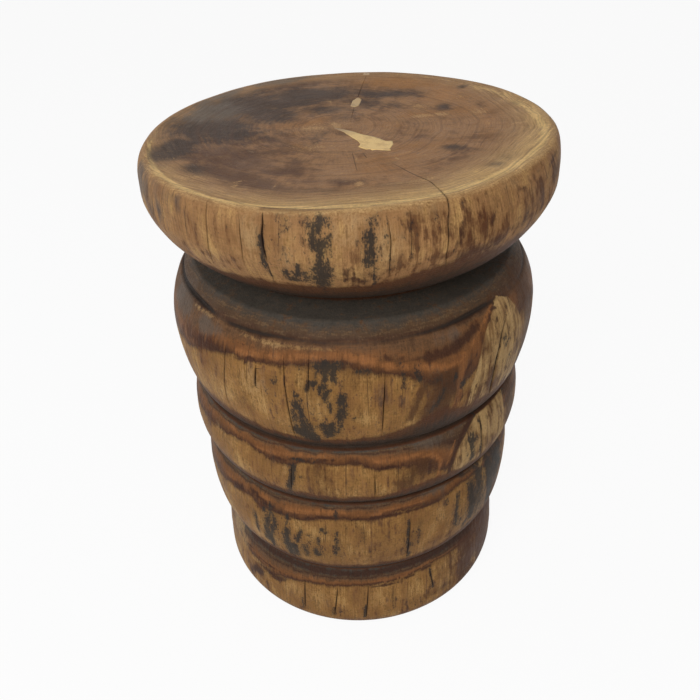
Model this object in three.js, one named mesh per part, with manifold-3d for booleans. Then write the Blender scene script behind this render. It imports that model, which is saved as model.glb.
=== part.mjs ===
// A low stool cut from one log: a dished seat over four rounded rings, with the drying checks
// that opened in the wood and three pale fills let into the seat's pith check.
// Millimetres, +Z up. The origin is on the floor under the middle of the stool.
// A bearing is an angle seen from above, in degrees: 0 is the front (-Y), 90 is the right (+X).

import * as THREE from 'three';
import { mergeVertices } from 'three/addons/utils/BufferGeometryUtils.js';
import Module from 'manifold-3d';

const wasm = await Module();
wasm.setup();

// Base ring. A rise is the height from the groove below to the widest line, and a shoulder is
// the height from the widest line to the groove above. Fullness 2 is an ellipse, more is squarer.
const footRadius = 112;
const baseRise = 22.8;
const baseRadius = 143.3;
const baseShoulder = 61.6;
const footFullness = 2.45;
const baseFullness = 1.85;

// Fourth ring
const fourthGrooveRadius = 135;
const fourthRise = 55.8;
const fourthRadius = 150.8;
const fourthShoulder = 36;
const fourthFullness = 2;

// Third ring
const thirdGrooveRadius = 140.7;
const thirdRise = 30.2;
const thirdRadius = 155.3;
const thirdShoulder = 34.3;
const thirdFullness = 1.95;

// Second ring, with a line cut round its shoulder
const secondGrooveRadius = 143.8;
const secondRise = 60.6;
const secondRadius = 161.4;
const secondShoulder = 60;
const secondFullness = 1.8;
const secondShoulderFullness = 2.1;
const lineBelowNeck = 18.5;
const lineWidth = 4.4;
const lineDepth = 2.6;

// Neck and seat
const neckRadius = 114.5;
const seatRise = 57.9;
const seatRadius = 169.6;
const seatShoulder = 30.8;
const crestInset = 11.1;
const undersideFullness = 1.5;
const seatFullness = 2.4;
const dishDepth = 6;
const dishFullness = 2.5;

// Half heights of the small hollows that end the grooves
const grooveHollow = 2.2;
const neckHollow = 7;

// The log isn't quite round. Its crest is longer another way, has three soft corners and leans.
const outOfRound = 1.8;
const widestBearing = -15;
const crestOutOfRound = 2.9;
const crestWidestBearing = -38;
const crestCorners = 1.3;
const cornerBearing = -30;
const leanRight = 0.8;
const leanBack = 1;

// Fills in the seat. The pith fill is placed by the tip of its tail.
const fillClearance = 0.3;
const pithTipLeft = 12.6;
const pithTipBack = 14.7;
const pithFillWidth = 48;
const pithFillLength = 60.6;
const pithFillDepth = 14;
const checkFillRadius = 80;
const checkFillBearing = 174.5;
const checkFillWidth = 8.6;
const checkFillLength = 25;
const checkFillDepth = 10;
const rimFillBearing = 173;
const rimFillWidth = 6.2;
const rimFillInboard = 7;
const rimFillDepth = 8;

// How far a cutting block runs out of the wood
const overrun = 1;

// Drying checks: how far the cutting blade stands out of the wood, how thin it ends as a share
// of its middle, and how far a check keeps off the hollows beside its ring
const bladeProud = 2;
const bladeEnd = 0.3;
const checkMargin = 1;

// How finely the forms are faceted
const segments = 56;
const quarterSteps = 5;
const hollowSteps = 2;
const dishSteps = 6;
const bladeStep = 12;
const mergeDistance = 1e-4;

const degrees = Math.PI / 180;

// Places on the axis, stacked up from the floor
const baseLine = baseRise;
const fourthGroove = baseLine + baseShoulder;
const fourthLine = fourthGroove + fourthRise;
const thirdGroove = fourthLine + fourthShoulder;
const thirdLine = thirdGroove + thirdRise;
const secondGroove = thirdLine + thirdShoulder;
const secondLine = secondGroove + secondRise;
const neck = secondLine + secondShoulder;
const seatLine = neck + seatRise;
const crest = seatLine + seatShoulder;
const dishFloor = crest - dishDepth;
const crestRadius = seatRadius - crestInset;

// One quarter of a ring's section, from the edge of the groove's hollow to the widest line:
// a superellipse that leaves the groove level and is upright at the widest line.
function quarter(grooveRadius, groove, radius, line, fullness, hollow) {
  const edge = 1 - hollow / Math.abs(line - groove);
  const start = Math.acos(edge ** (fullness / 2));
  return Array.from({ length: quarterSteps + 1 }, (_, i) => {
    const angle = THREE.MathUtils.lerp(start, Math.PI / 2, i / quarterSteps);
    const out = Math.sin(angle) ** (2 / fullness);
    const along = Math.max(Math.cos(angle), 0) ** (2 / fullness);
    return new THREE.Vector2(
      THREE.MathUtils.lerp(grooveRadius, radius, out),
      THREE.MathUtils.lerp(line, groove, along),
    );
  });
}

// The hollow between two rings: half an ellipse whose deepest point is at the groove's radius.
function hollowBetween(below, above, grooveRadius, groove, halfHeight) {
  const points = [];
  for (let i = 1 - hollowSteps; i < hollowSteps; i++) {
    const angle = (i / hollowSteps) * (Math.PI / 2);
    const lip = i < 0 ? below.x : above.x;
    const radius = grooveRadius + (lip - grooveRadius) * (1 - Math.cos(angle));
    points.push(new THREE.Vector2(radius, groove + halfHeight * Math.sin(angle)));
  }
  return points;
}

// The radius of a rising outline at a height.
function radiusAt(outline, height) {
  const i = outline.findIndex((point) => point.y > height);
  const [low, high] = [outline[i - 1], outline[i]];
  return THREE.MathUtils.mapLinear(height, low.y, high.y, low.x, high.x);
}

// Cuts the V of the incised line into the second ring's shoulder.
function withLine(outline) {
  const height = neck - lineBelowNeck;
  const half = lineWidth / 2;
  const lips = [height - half, height + half].map(
    (lip) => new THREE.Vector2(radiusAt(outline, lip), lip),
  );
  const bottom = new THREE.Vector2(radiusAt(outline, height) - lineDepth, height);
  return [
    ...outline.filter((point) => point.y < lips[0].y - half),
    lips[0],
    bottom,
    lips[1],
    ...outline.filter((point) => point.y > lips[1].y + half),
  ];
}

// The dish of the seat, from inside the crest to the axis.
function dish() {
  return Array.from({ length: dishSteps }, (_, i) => {
    const share = 1 - (i + 1) / dishSteps;
    return new THREE.Vector2(crestRadius * share, dishFloor + dishDepth * share ** dishFullness);
  });
}

// The whole outline of the log, from the middle of the foot to the middle of the seat. It also
// notes where each ring starts and ends in it, for the checks that follow a ring's side.
const rings = {};

function logOutline() {
  const grooves = [
    { radius: fourthGrooveRadius, at: fourthGroove, hollow: grooveHollow },
    { radius: thirdGrooveRadius, at: thirdGroove, hollow: grooveHollow },
    { radius: secondGrooveRadius, at: secondGroove, hollow: grooveHollow },
    { radius: neckRadius, at: neck, hollow: neckHollow },
  ];
  const foot = { radius: footRadius, at: 0, hollow: 0 };
  const top = { radius: crestRadius, at: crest, hollow: 0 };
  const sides = [
    ['base', baseRadius, baseLine, footFullness, baseFullness],
    ['fourth', fourthRadius, fourthLine, fourthFullness, fourthFullness],
    ['third', thirdRadius, thirdLine, thirdFullness, thirdFullness],
    ['second', secondRadius, secondLine, secondFullness, secondShoulderFullness],
    ['seat', seatRadius, seatLine, undersideFullness, seatFullness],
  ];
  const ends = [foot, ...grooves, top];
  const outline = [new THREE.Vector2(0, 0)];
  sides.forEach(([name, radius, line, fullnessBelow, fullnessAbove], i) => {
    const [below, above] = [ends[i], ends[i + 1]];
    const lower = quarter(below.radius, below.at, radius, line, fullnessBelow, below.hollow);
    const upper = quarter(above.radius, above.at, radius, line, fullnessAbove, above.hollow);
    const side = [...lower, ...upper.reverse().slice(1)];
    if (i > 0) {
      outline.push(...hollowBetween(outline.at(-1), side[0], below.radius, below.at, below.hollow));
    }
    const start = outline.length;
    outline.push(...(name === 'second' ? withLine(side) : side));
    rings[name] = { start, end: outline.length - 1, line };
  });
  outline.push(...dish());
  return outline;
}

const outline = logOutline();

// Distances along the outline, from the middle of the foot
const lengths = outline.reduce((sums, point, i) => {
  sums.push(i === 0 ? 0 : sums[i - 1] + point.distanceTo(outline[i - 1]));
  return sums;
}, []);

// The point of the outline at a distance along it.
function outlineAt(distance) {
  const found = lengths.findIndex((length) => length >= distance);
  const i = Math.max(found, 1);
  const share = (distance - lengths[i - 1]) / (lengths[i] - lengths[i - 1]);
  return outline[i - 1].clone().lerp(outline[i], share);
}

// The distance along the outline at a height on a ring's side.
function distanceAt(ring, height) {
  const { start, end } = rings[ring];
  const [lowest, highest] = [outline[start].y + checkMargin, outline[end].y - checkMargin];
  const limited = THREE.MathUtils.clamp(height, lowest, highest);
  let i = start + 1;
  while (outline[i].y < limited) i++;
  const share = (limited - outline[i - 1].y) / (outline[i].y - outline[i - 1].y);
  return THREE.MathUtils.lerp(lengths[i - 1], lengths[i], share);
}

// A point in the round: how far out, at which bearing, how high, and how far to the side.
function place(radius, bearing, height, side = 0) {
  const [sin, cos] = [Math.sin(bearing * degrees), Math.cos(bearing * degrees)];
  return [radius * sin + side * cos, -radius * cos + side * sin, height];
}

// Turns a closed triangle mesh into a solid, with its faces pointing out.
function solidFrom(geometry) {
  geometry.deleteAttribute('normal');
  geometry.deleteAttribute('uv');
  const merged = mergeVertices(geometry, mergeDistance);
  const points = merged.attributes.position.array;
  const corners = Array.from(merged.index.array);
  const faces = [];
  for (let i = 0; i < corners.length; i += 3) {
    const [a, b, c] = corners.slice(i, i + 3);
    if (a !== b && b !== c && c !== a) faces.push(a, b, c);
  }
  const at = (corner) => new THREE.Vector3().fromArray(points, corner * 3);
  let volume = 0;
  for (let i = 0; i < faces.length; i += 3) {
    volume += at(faces[i]).dot(at(faces[i + 1]).cross(at(faces[i + 2])));
  }
  if (volume < 0) faces.reverse();
  const mesh = { numProp: 3, vertProperties: points, triVerts: Uint32Array.from(faces) };
  return new wasm.Manifold(new wasm.Mesh(mesh));
}

// The log in the round, turned from its outline.
function turnedLog() {
  const lathe = new THREE.LatheGeometry(outline, segments);
  lathe.rotateX(Math.PI / 2);
  return solidFrom(lathe);
}

// A prism that stands on the floor of a pocket and reaches above the seat.
function prism(corners, floor) {
  const shape = new THREE.Shape(corners);
  const height = crest + overrun - floor;
  const block = new THREE.ExtrudeGeometry(shape, { depth: height, bevelEnabled: false });
  block.translate(0, 0, floor);
  return solidFrom(block);
}

// Moves every side of a counter-clockwise outline inwards by a distance.
function drawnIn(corners, distance) {
  const count = corners.length;
  const inward = corners.map((corner, i) => {
    const side = corners[(i + 1) % count].clone().sub(corner).normalize();
    return new THREE.Vector2(-side.y, side.x);
  });
  return corners.map((corner, i) => {
    const [before, after] = [inward[(i + count - 1) % count], inward[i]];
    const middle = before.clone().add(after);
    return corner.clone().addScaledVector(middle, distance / (1 + before.dot(after)));
  });
}

// Turns an outline drawn about its own middle, with +Y towards the rim, to a bearing and moves
// it out on the seat.
function onSeat(corners, radius, bearing) {
  const [x, y] = place(radius, bearing, 0);
  const middle = new THREE.Vector2();
  return corners.map(([across, out]) => {
    const corner = new THREE.Vector2(across, out);
    return corner.rotateAround(middle, (bearing - 180) * degrees).add(new THREE.Vector2(x, y));
  });
}

// Outlines of the fills, counter-clockwise seen from above. The pith fill is a long chip that
// widens from its tail to a broken edge. Its corners are shares of its width, to the right from
// the tip of the tail, and of its length, towards the front.
const pithFillOutline = [
  [0, 0], [0.21, 0.23], [0.32, 0.42], [0.42, 0.57], [0.46, 0.7], [0.42, 0.79], [0.52, 0.87],
  [0.67, 0.92], [0.97, 1], [0.9, 0.92], [1, 0.74], [0.98, 0.67], [0.83, 0.65], [0.73, 0.57],
  [0.53, 0.41], [0.34, 0.24], [0.18, 0.12],
].map(([right, front]) => new THREE.Vector2(
  right * pithFillWidth - pithTipLeft,
  pithTipBack - front * pithFillLength,
));

// The check fill is a leaf along its check, in shares of its width and length.
const checkFillOutline = onSeat([
  [-0.5, -0.4], [0, -0.5], [0.33, -0.32], [0.5, 0.28], [0.07, 0.5], [-0.4, 0.16],
].map(([across, out]) => [across * checkFillWidth, out * checkFillLength]),
checkFillRadius, checkFillBearing);

// The rim fill crosses the crest and runs out through the side of the seat.
const rimFillReach = crestInset + overrun;
const rimFillOutline = onSeat([
  [-rimFillWidth / 2, -rimFillInboard], [rimFillWidth / 2, -rimFillInboard],
  [rimFillWidth / 2, rimFillReach], [-rimFillWidth / 2, rimFillReach],
], crestRadius, rimFillBearing);

const fills = [
  { name: 'pith_fill', corners: pithFillOutline, depth: pithFillDepth },
  { name: 'check_fill', corners: checkFillOutline, depth: checkFillDepth },
  { name: 'rim_fill', corners: rimFillOutline, depth: rimFillDepth },
];

// The drying checks. One on a ring's side runs from one height to another, given from the
// ring's widest line, and its bearing may drift on the way. Widths are at the surface.
const sideChecks = [
  { ring: 'seat', low: -14, high: 29.5, bearings: [21.6, 23], width: 1.6, depth: 26 },
  { ring: 'seat', low: -12, high: 28, bearings: [-34, -34.8], width: 1, depth: 14 },
  { ring: 'seat', low: -5, high: 20, bearings: [-24.6, -25.2], width: 0.7, depth: 8 },
  { ring: 'second', low: -39, high: 28, bearings: [-41.6, -38], width: 1.1, depth: 14 },
  { ring: 'second', low: -50, high: 33, bearings: [-18.2, -19.4], width: 1.1, depth: 14 },
  { ring: 'second', low: -41, high: 20, bearings: [7.4, 8], width: 0.9, depth: 12 },
  { ring: 'second', low: -40, high: 27, bearings: [43.8, 49], width: 2.2, depth: 24 },
  { ring: 'third', low: -17, high: 10, bearings: [4.8, 4.8], width: 0.9, depth: 10 },
  { ring: 'third', low: -24, high: 26, bearings: [43.6, 48.6], width: 1.6, depth: 18 },
  { ring: 'fourth', low: -52, high: 2, bearings: [16, 17], width: 1, depth: 12 },
  { ring: 'base', low: -18, high: 28, bearings: [-22.8, -22.2], width: 0.9, depth: 8 },
  { ring: 'base', low: -20, high: 24, bearings: [-10.5, -9.5], width: 1.4, depth: 12 },
  { ring: 'base', low: -20, high: 26, bearings: [2.4, 2.2], width: 1.4, depth: 12 },
  { ring: 'base', low: -2, high: 30, bearings: [28.2, 27.6], width: 0.9, depth: 8 },
];

// The checks that cross the seat, from a distance inside the crest outwards.
const seatChecks = [
  { inboard: [94, -9], bearings: [25.6, 23], width: 1.4, depth: 20 },
  { inboard: [128, 16], bearings: [176, 173], width: 1.2, depth: 16 },
];

// The blade that cuts a check: a three-cornered section with its sharp edge in the wood, carried
// along the outline between two distances and thinned away towards both ends.
function blade(from, to, bearings, width, depth) {
  const steps = Math.ceil(Math.abs(to - from) / bladeStep) + 1;
  const points = [];
  for (let i = 0; i <= steps; i++) {
    const share = i / steps;
    const distance = THREE.MathUtils.lerp(from, to, share);
    const bearing = THREE.MathUtils.lerp(bearings[0], bearings[1], share);
    const surface = outlineAt(distance);
    const before = outlineAt(distance - bladeProud);
    const run = outlineAt(distance + bladeProud).sub(before).normalize();
    const out = new THREE.Vector2(run.y, -run.x);
    const swell = Math.max(Math.sin(share * Math.PI), bladeEnd);
    const edge = surface.clone().addScaledVector(out, -depth * swell);
    const back = surface.clone().addScaledVector(out, bladeProud);
    const half = (width / 2) * (swell + bladeProud / depth);
    points.push(place(edge.x, bearing, edge.y));
    points.push(place(back.x, bearing, back.y, -half));
    points.push(place(back.x, bearing, back.y, half));
  }
  const faces = [0, 1, 2];
  for (let i = 0; i < steps; i++) {
    const ring = i * 3;
    for (const [a, b] of [[0, 1], [1, 2], [2, 0]]) {
      faces.push(ring + a, ring + a + 3, ring + b);
      faces.push(ring + b, ring + a + 3, ring + b + 3);
    }
  }
  faces.push(steps * 3, steps * 3 + 2, steps * 3 + 1);
  const geometry = new THREE.BufferGeometry();
  geometry.setAttribute('position', new THREE.Float32BufferAttribute(points.flat(), 3));
  geometry.setIndex(faces);
  return solidFrom(geometry);
}

function sideBlade({ ring, low, high, bearings, width, depth }) {
  const { line } = rings[ring];
  return blade(distanceAt(ring, line + low), distanceAt(ring, line + high), bearings, width, depth);
}

function seatBlade({ inboard, bearings, width, depth }) {
  const rim = lengths[rings.seat.end];
  return blade(rim + inboard[0], rim + inboard[1], bearings, width, depth);
}

// How far the log swells at a bearing where it is longer one way, by half the difference.
function oval(difference, longest, bearing) {
  return difference * Math.cos(2 * (bearing - longest * degrees));
}

// Gives a solid's points the log's hand-cut shape: a little out of round all the way up, with
// the crest's own outline from the seat's widest line and a lean from the neck.
function shapedByHand(solid) {
  const { vertProperties, triVerts } = solid.getMesh();
  const geometry = new THREE.BufferGeometry();
  const positions = new THREE.Float32BufferAttribute(vertProperties, 3);
  for (let i = 0; i < positions.count; i++) {
    const [x, y, z] = [positions.getX(i), positions.getY(i), positions.getZ(i)];
    const bearing = Math.atan2(x, -y);
    const body = oval(outOfRound, widestBearing, bearing);
    const corners = crestCorners * Math.cos(3 * (bearing - cornerBearing * degrees));
    const edge = oval(crestOutOfRound, crestWidestBearing, bearing) + corners;
    const upper = THREE.MathUtils.smoothstep(z, seatLine, crest);
    const swell = 1 + THREE.MathUtils.lerp(body / seatRadius, edge / crestRadius, upper);
    const leaning = THREE.MathUtils.smoothstep(z, neck, crest) / crestRadius;
    positions.setXYZ(i, x * swell, y * swell, z + leaning * (leanRight * x + leanBack * y));
  }
  geometry.setAttribute('position', positions);
  geometry.setIndex(new THREE.BufferAttribute(triVerts, 1));
  return geometry;
}

// Materials
const brownWood = new THREE.MeshStandardMaterial({ color: 0x8a6238, roughness: 0.55, metalness: 0 });
const paleFill = new THREE.MeshStandardMaterial({ color: 0xc29a5c, roughness: 0.6, metalness: 0 });

// The log, with its pockets and checks cut
const whole = turnedLog();
let log = whole;
for (const { corners, depth } of fills) {
  log = log.subtract(prism(corners, dishFloor - depth));
}
for (const check of sideChecks) {
  log = log.subtract(sideBlade(check));
}
for (const check of seatChecks) {
  log = log.subtract(seatBlade(check));
}

const stool = new THREE.Group();
const logMesh = new THREE.Mesh(shapedByHand(log), brownWood);
logMesh.name = 'ringed_log';
stool.add(logMesh);

// The fills, each flush with the seat and clear of its pocket all round
for (const { name, corners, depth } of fills) {
  const block = prism(drawnIn(corners, fillClearance), dishFloor - depth + fillClearance);
  const fill = new THREE.Mesh(shapedByHand(block.intersect(whole)), paleFill);
  fill.name = name;
  stool.add(fill);
}

// The origin goes under the middle of the log's width and depth.
const middle = new THREE.Box3().setFromObject(logMesh).getCenter(new THREE.Vector3());
stool.children.forEach((mesh) => mesh.geometry.translate(-middle.x, -middle.y, 0));

export default stool;
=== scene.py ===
import math

import bpy
import numpy as np
from mathutils import Matrix, Vector


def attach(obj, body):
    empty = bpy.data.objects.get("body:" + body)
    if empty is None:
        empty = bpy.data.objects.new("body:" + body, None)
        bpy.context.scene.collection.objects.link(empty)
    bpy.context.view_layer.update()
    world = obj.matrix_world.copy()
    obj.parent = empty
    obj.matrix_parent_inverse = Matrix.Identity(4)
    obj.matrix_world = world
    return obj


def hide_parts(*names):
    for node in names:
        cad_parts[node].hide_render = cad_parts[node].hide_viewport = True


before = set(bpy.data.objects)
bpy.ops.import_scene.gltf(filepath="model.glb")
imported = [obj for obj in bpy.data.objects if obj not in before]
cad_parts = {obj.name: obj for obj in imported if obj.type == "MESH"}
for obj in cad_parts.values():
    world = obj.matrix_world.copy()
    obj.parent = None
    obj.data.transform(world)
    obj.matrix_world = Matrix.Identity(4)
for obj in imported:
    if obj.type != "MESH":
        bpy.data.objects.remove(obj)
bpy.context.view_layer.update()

# A stool cut from one log. Metres, +Z up. A bearing is an angle seen from above: 0 is the front
# (-Y), 90 is the right (+X). A station is a place along the log's outline, in millimetres: the
# height on its side, the height of the crest plus the distance inboard on the seat, and below
# zero under the foot. Checks, stains and bands of colour are placed by bearing and station.
MM = 0.001
DEGREES = math.pi / 180

# Radii and heights of the rings, their grooves, the neck and the seat
FOOT = (112, 0)
BASE = (143.3, 22.8)
FOURTH_GROOVE = (135, 84.4)
FOURTH = (150.8, 140.2)
THIRD_GROOVE = (140.7, 176.2)
THIRD = (155.3, 206.4)
SECOND_GROOVE = (143.8, 240.7)
SECOND = (161.4, 301.3)
NECK = (114.5, 361.3)
SEAT = (169.6, 419.2)
CREST = (158.5, 450)
DISH_DEPTH = 6
DISH_FULLNESS = 2.5

# Half heights of the hollows that end the grooves
GROOVE_HOLLOW = 2.2
NECK_HOLLOW = 7

# Each ring's side: the end below, its widest line, the end above, and its fullness below and
# above that line, where 2 is an ellipse and more is squarer
SIDES = (
    (FOOT, 0, BASE, FOURTH_GROOVE, GROOVE_HOLLOW, 2.45, 1.85),
    (FOURTH_GROOVE, GROOVE_HOLLOW, FOURTH, THIRD_GROOVE, GROOVE_HOLLOW, 2, 2),
    (THIRD_GROOVE, GROOVE_HOLLOW, THIRD, SECOND_GROOVE, GROOVE_HOLLOW, 1.95, 1.95),
    (SECOND_GROOVE, GROOVE_HOLLOW, SECOND, NECK, NECK_HOLLOW, 1.8, 2.1),
    (NECK, NECK_HOLLOW, SEAT, CREST, 0, 1.5, 2.4),
)

# The hand-cut shape: how much longer the body and the crest are one way, by half the
# difference, with the crest's three soft corners and its lean to the right and the back
BODY_OVAL, BODY_LONGEST = 1.8, -15
CREST_OVAL, CREST_LONGEST = 2.9, -38
CREST_CORNERS, CORNER_BEARING = 1.3, -30
LEAN_RIGHT, LEAN_BACK = 0.8, 1.0

# The line cut round the second ring's shoulder: its height and its depth by bearing
LINE_HEIGHT = ((-180, 342), (-120, 343.5), (-75, 344), (-50, 344), (-40, 342.2), (-20, 342.6),
               (0, 342), (25, 343), (42, 344.5), (60, 342), (100, 343.5), (140, 341.5))
LINE_DEPTH = ((-180, 1.8), (-120, 2.4), (-75, 2.6), (-50, 3.2), (-43, 1.0), (-36, 2.0), (-15, 1.2),
              (5, 0.9), (25, 1.8), (40, 2.6), (50, 0.8), (75, 1.6), (110, 2.4), (145, 1.6))
LINE_HALF_WIDTH = 2.4

# The drying checks that open the wood, each along its track: station and bearing from its upper
# end to its lower one, with its width and depth at its widest
CHECKS = {
    "left": (
        (((454, -34.6), (446, -33.4), (434, -33.4), (410, -34.5), (398, -36.0)), 0.8, 3),
        (((331, -37.6), (310, -38.2), (290, -39.6), (262, -40.8)), 0.9, 3),
    ),
    "left of front": (
        (((450, -25.0), (442, -24.4), (424, -24.5), (405, -25.0)), 0.6, 2),
        (((320, -27.2), (308, -27.6), (298, -27.8)), 1.6, 4),
        (((62, -22.4), (40, -22.8), (18, -23.2)), 1.2, 3),
    ),
    "stained": (
        (((449, -19.3), (443, -18.9), (435, -19.2), (426, -19.1), (416, -18.6)), 1.5, 4),
        (((334, -19.2), (300, -18.6), (270, -18.4), (250, -18.2)), 0.9, 3),
        (((222, -20.4), (208, -20.8), (194, -21.2)), 0.9, 2),
    ),
    "front left": (
        (((338, -12.2), (318, -12.2), (298, -12.6)), 0.6, 2),
        (((60, -9.4), (40, -10.2), (18, -11.2)), 0.9, 3),
    ),
    "front": (
        (((216, 4.8), (189, 4.8)), 0.8, 3),
        (((62, 2.2), (38, 1.6), (17, 1.0)), 0.9, 3),
    ),
    "front right": (
        (((446, 8.2), (431, 8.7), (416, 8.4), (402, 8.6)), 0.6, 2),
        (((322, 7.8), (290, 7.2), (258, 7.0)), 0.8, 3),
    ),
    "low right": (
        (((152, 16.9), (125, 16.4), (96, 16.0)), 0.8, 3),
    ),
    "right": (
        (((494, 24.6), (480, 25.6), (464, 24.4), (450, 23.2), (442, 22.8), (436, 22.1),
          (412, 21.7), (396, 23.2)), 0.9, 4),
        (((62, 27.0), (50, 27.8), (36, 28.8)), 0.9, 3),
    ),
    "figured": (
        (((450, 41.0), (443, 40.4), (436, 40.4), (427, 40.2)), 0.7, 2),
        (((331, 50.8), (326, 48.6), (321, 46.9), (312, 45.5), (300, 44.2), (288, 43.8),
          (274, 43.6), (259, 44.4)), 3.6, 9),
        (((240, 43.6), (232, 43.4), (212, 43.4), (190, 44.5)), 1.6, 4),
    ),
    "back": (
        (((586, 176), (540, 175), (506, 174), (463, 173), (449, 172.6), (404, 171.8)), 0.4, 1),
        (((330, 170), (296, 171), (262, 170.4)), 1.1, 4),
    ),
}

EVERY_CHECK = [check for group in CHECKS.values() for check in group]

# How the grid is laid: columns across each check as shares of its half width, with the half width
# that its track keeps where it is shut and the most that this is of the radius. Then the spacing
# of the plain columns, wider between the bearings of the back, and of the plain rows, wider on
# the seat from some way inboard of the crest.
CHECK_COLUMNS = (-3.5, -2, -1, -0.5, 0, 0.5, 1, 2, 3.5)
SHUT_TRACK, SHUT_TRACK_SHARE = 0.45, 0.003
COLUMN_SPACING = 3.2
BACK_SPACING = 5
BACK_FROM, BACK_TO = 100, 260
ROW_SPACING = 3.25
SEAT_SPACING = ROW_SPACING * 1.3
SEAT_SPACING_FROM = 20
FOOT_ROWS = 8

# The closer rows: a station that needs them, how far either way they reach and their spacing
CLOSE_ROWS = ((SECOND_GROOVE[1], 6, 1.3), (THIRD_GROOVE[1], 6, 1.3), (FOURTH_GROOVE[1], 6, 1.3),
              (NECK[1], 10, 2.0), (343, 7, 1.1), (CREST[1], 6, 1.6))

# Fine steps along each quarter curve, and along the whole outline when rows are set out on it
OUTLINE_STEPS = 160
FINE_STEPS = 20000

# Unevenness: depth, how many waves, the most crests round the log, the least length along it and
# the seed. Hand tools left soft hollows in the surface under an even wear, the grooves wander in
# height, and the bands of colour waver. The wear and the wander grow and die out between stations.
TOOL_MARKS = ((0.35, 14, 9, 60, 3), (0.12, 20, 30, 14, 5))
WEAR, LEAST_WEAR = 0.4, 0.02
WEAR_GROWS, WEAR_DIES = (6, 30), (560, 600)
WANDER = (0.9, 8, 5, 400, 11)
WANDER_GROWS, WANDER_DIES = (20, 60), (330, 350)
BAND_WAVES = (1.2, 16, 60, 40, 21)
WAVE_SPREAD = 1.6

# The least half widths at which a check is cut, and at which its colour shows. How far from a
# check its colour starts to fade and ends, and how far its distance is kept.
CUT_FROM, COLOUR_FROM = 0.05, 0.02
CHECK_FADE = (3, 5)
CHECK_REACH = 6.0
FAR_AWAY = 999.0

# How fast dabs, strokes and patches fall off outwards, and the least height of a band's step.
# How far down from the middle of a groove the painted shade under it starts to lighten and has
# lightened. How far outside the crest and inside it the distance inboard is kept, and the least
# width of the rim.
FALL_OFF = 0.7
LEAST_STEP = 0.5
GROOVE_SHADE = (0.8, 4)
INBOARD_KEPT = (-20, 160)
RIM_LEAST = -60


def joined(points, at):
    """A smooth curve through (place, value) points, by cubic pieces whose slope at each point is
    the slope between its two neighbours, and flat beyond the ends."""
    x, y = np.array(points, float).T
    slope = np.gradient(y, x)
    at = np.clip(at, x[0], x[-1])
    k = np.clip(np.searchsorted(x, at, side="right") - 1, 0, len(x) - 2)
    width = x[k + 1] - x[k]
    t = (at - x[k]) / width
    rest = 1 - t
    return (y[k] * rest * rest * (1 + 2 * t) + y[k + 1] * t * t * (3 - 2 * t)
            + slope[k] * width * t * rest * rest - slope[k + 1] * width * t * t * rest)


def turned_from(bearing, middle):
    """The turn from one bearing to another, from -180 to 180."""
    return (bearing - middle + 180) % 360 - 180


def round_the_log(points, bearing):
    """A smooth curve through (bearing, value) points that meets itself at the back."""
    points = sorted(points)
    before = [(b - 360, v) for b, v in points[-2:]]
    after = [(b + 360, v) for b, v in points[:2]]
    return joined(before + points + after, (bearing + 180) % 360 - 180)


def smooth(low, high, value):
    """0 below low, 1 above high, and a smooth step between."""
    t = np.clip((value - low) / (high - low), 0, 1)
    return t * t * (3 - 2 * t)


def waves(kind, bearing, station):
    """Smooth unevenness, mostly within a depth either way: a sum of cosines, each with a whole
    number of crests round the log, a turn along it and a start of its own."""
    depth, count, around, along, seed = kind
    random = np.random.default_rng(seed)
    total = np.zeros(np.broadcast(bearing, station).shape)
    for _ in range(count):
        crests = random.integers(1, around + 1)
        turn = random.uniform(-1, 1) * 2 * math.pi / along
        start = random.uniform(0, 2 * math.pi)
        total = total + np.cos(crests * bearing * DEGREES + turn * station + start)
    return depth * (total / math.sqrt(count) / WAVE_SPREAD)


def quarter(groove, hollow, line, fullness):
    """One quarter of a ring's section, from the edge of the groove's hollow to the widest line:
    a superellipse, level at the groove and upright at the widest line."""
    radius, height = groove
    start = math.acos((1 - hollow / abs(line[1] - height)) ** (fullness / 2))
    angle = np.linspace(start, math.pi / 2, OUTLINE_STEPS)
    out = np.sin(angle) ** (2 / fullness)
    along = np.maximum(np.cos(angle), 0) ** (2 / fullness)
    return np.stack([radius + (line[0] - radius) * out, line[1] + (height - line[1]) * along], 1)


def hollow_between(lower_lip, upper_lip, groove, half_height):
    """The hollow between two rings: half an ellipse, deepest at the groove's radius."""
    angle = np.linspace(-math.pi / 2, math.pi / 2, OUTLINE_STEPS // 4)[1:-1]
    lip = np.where(angle < 0, lower_lip, upper_lip)
    radius = groove[0] + (lip - groove[0]) * (1 - np.cos(angle))
    return np.stack([radius, groove[1] + half_height * np.sin(angle)], 1)


def dish_height(radius):
    """The seat's height at a radius: a power of the share of the way out to the crest."""
    return CREST[1] - DISH_DEPTH + DISH_DEPTH * np.maximum(radius / CREST[0], 0) ** DISH_FULLNESS


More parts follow.
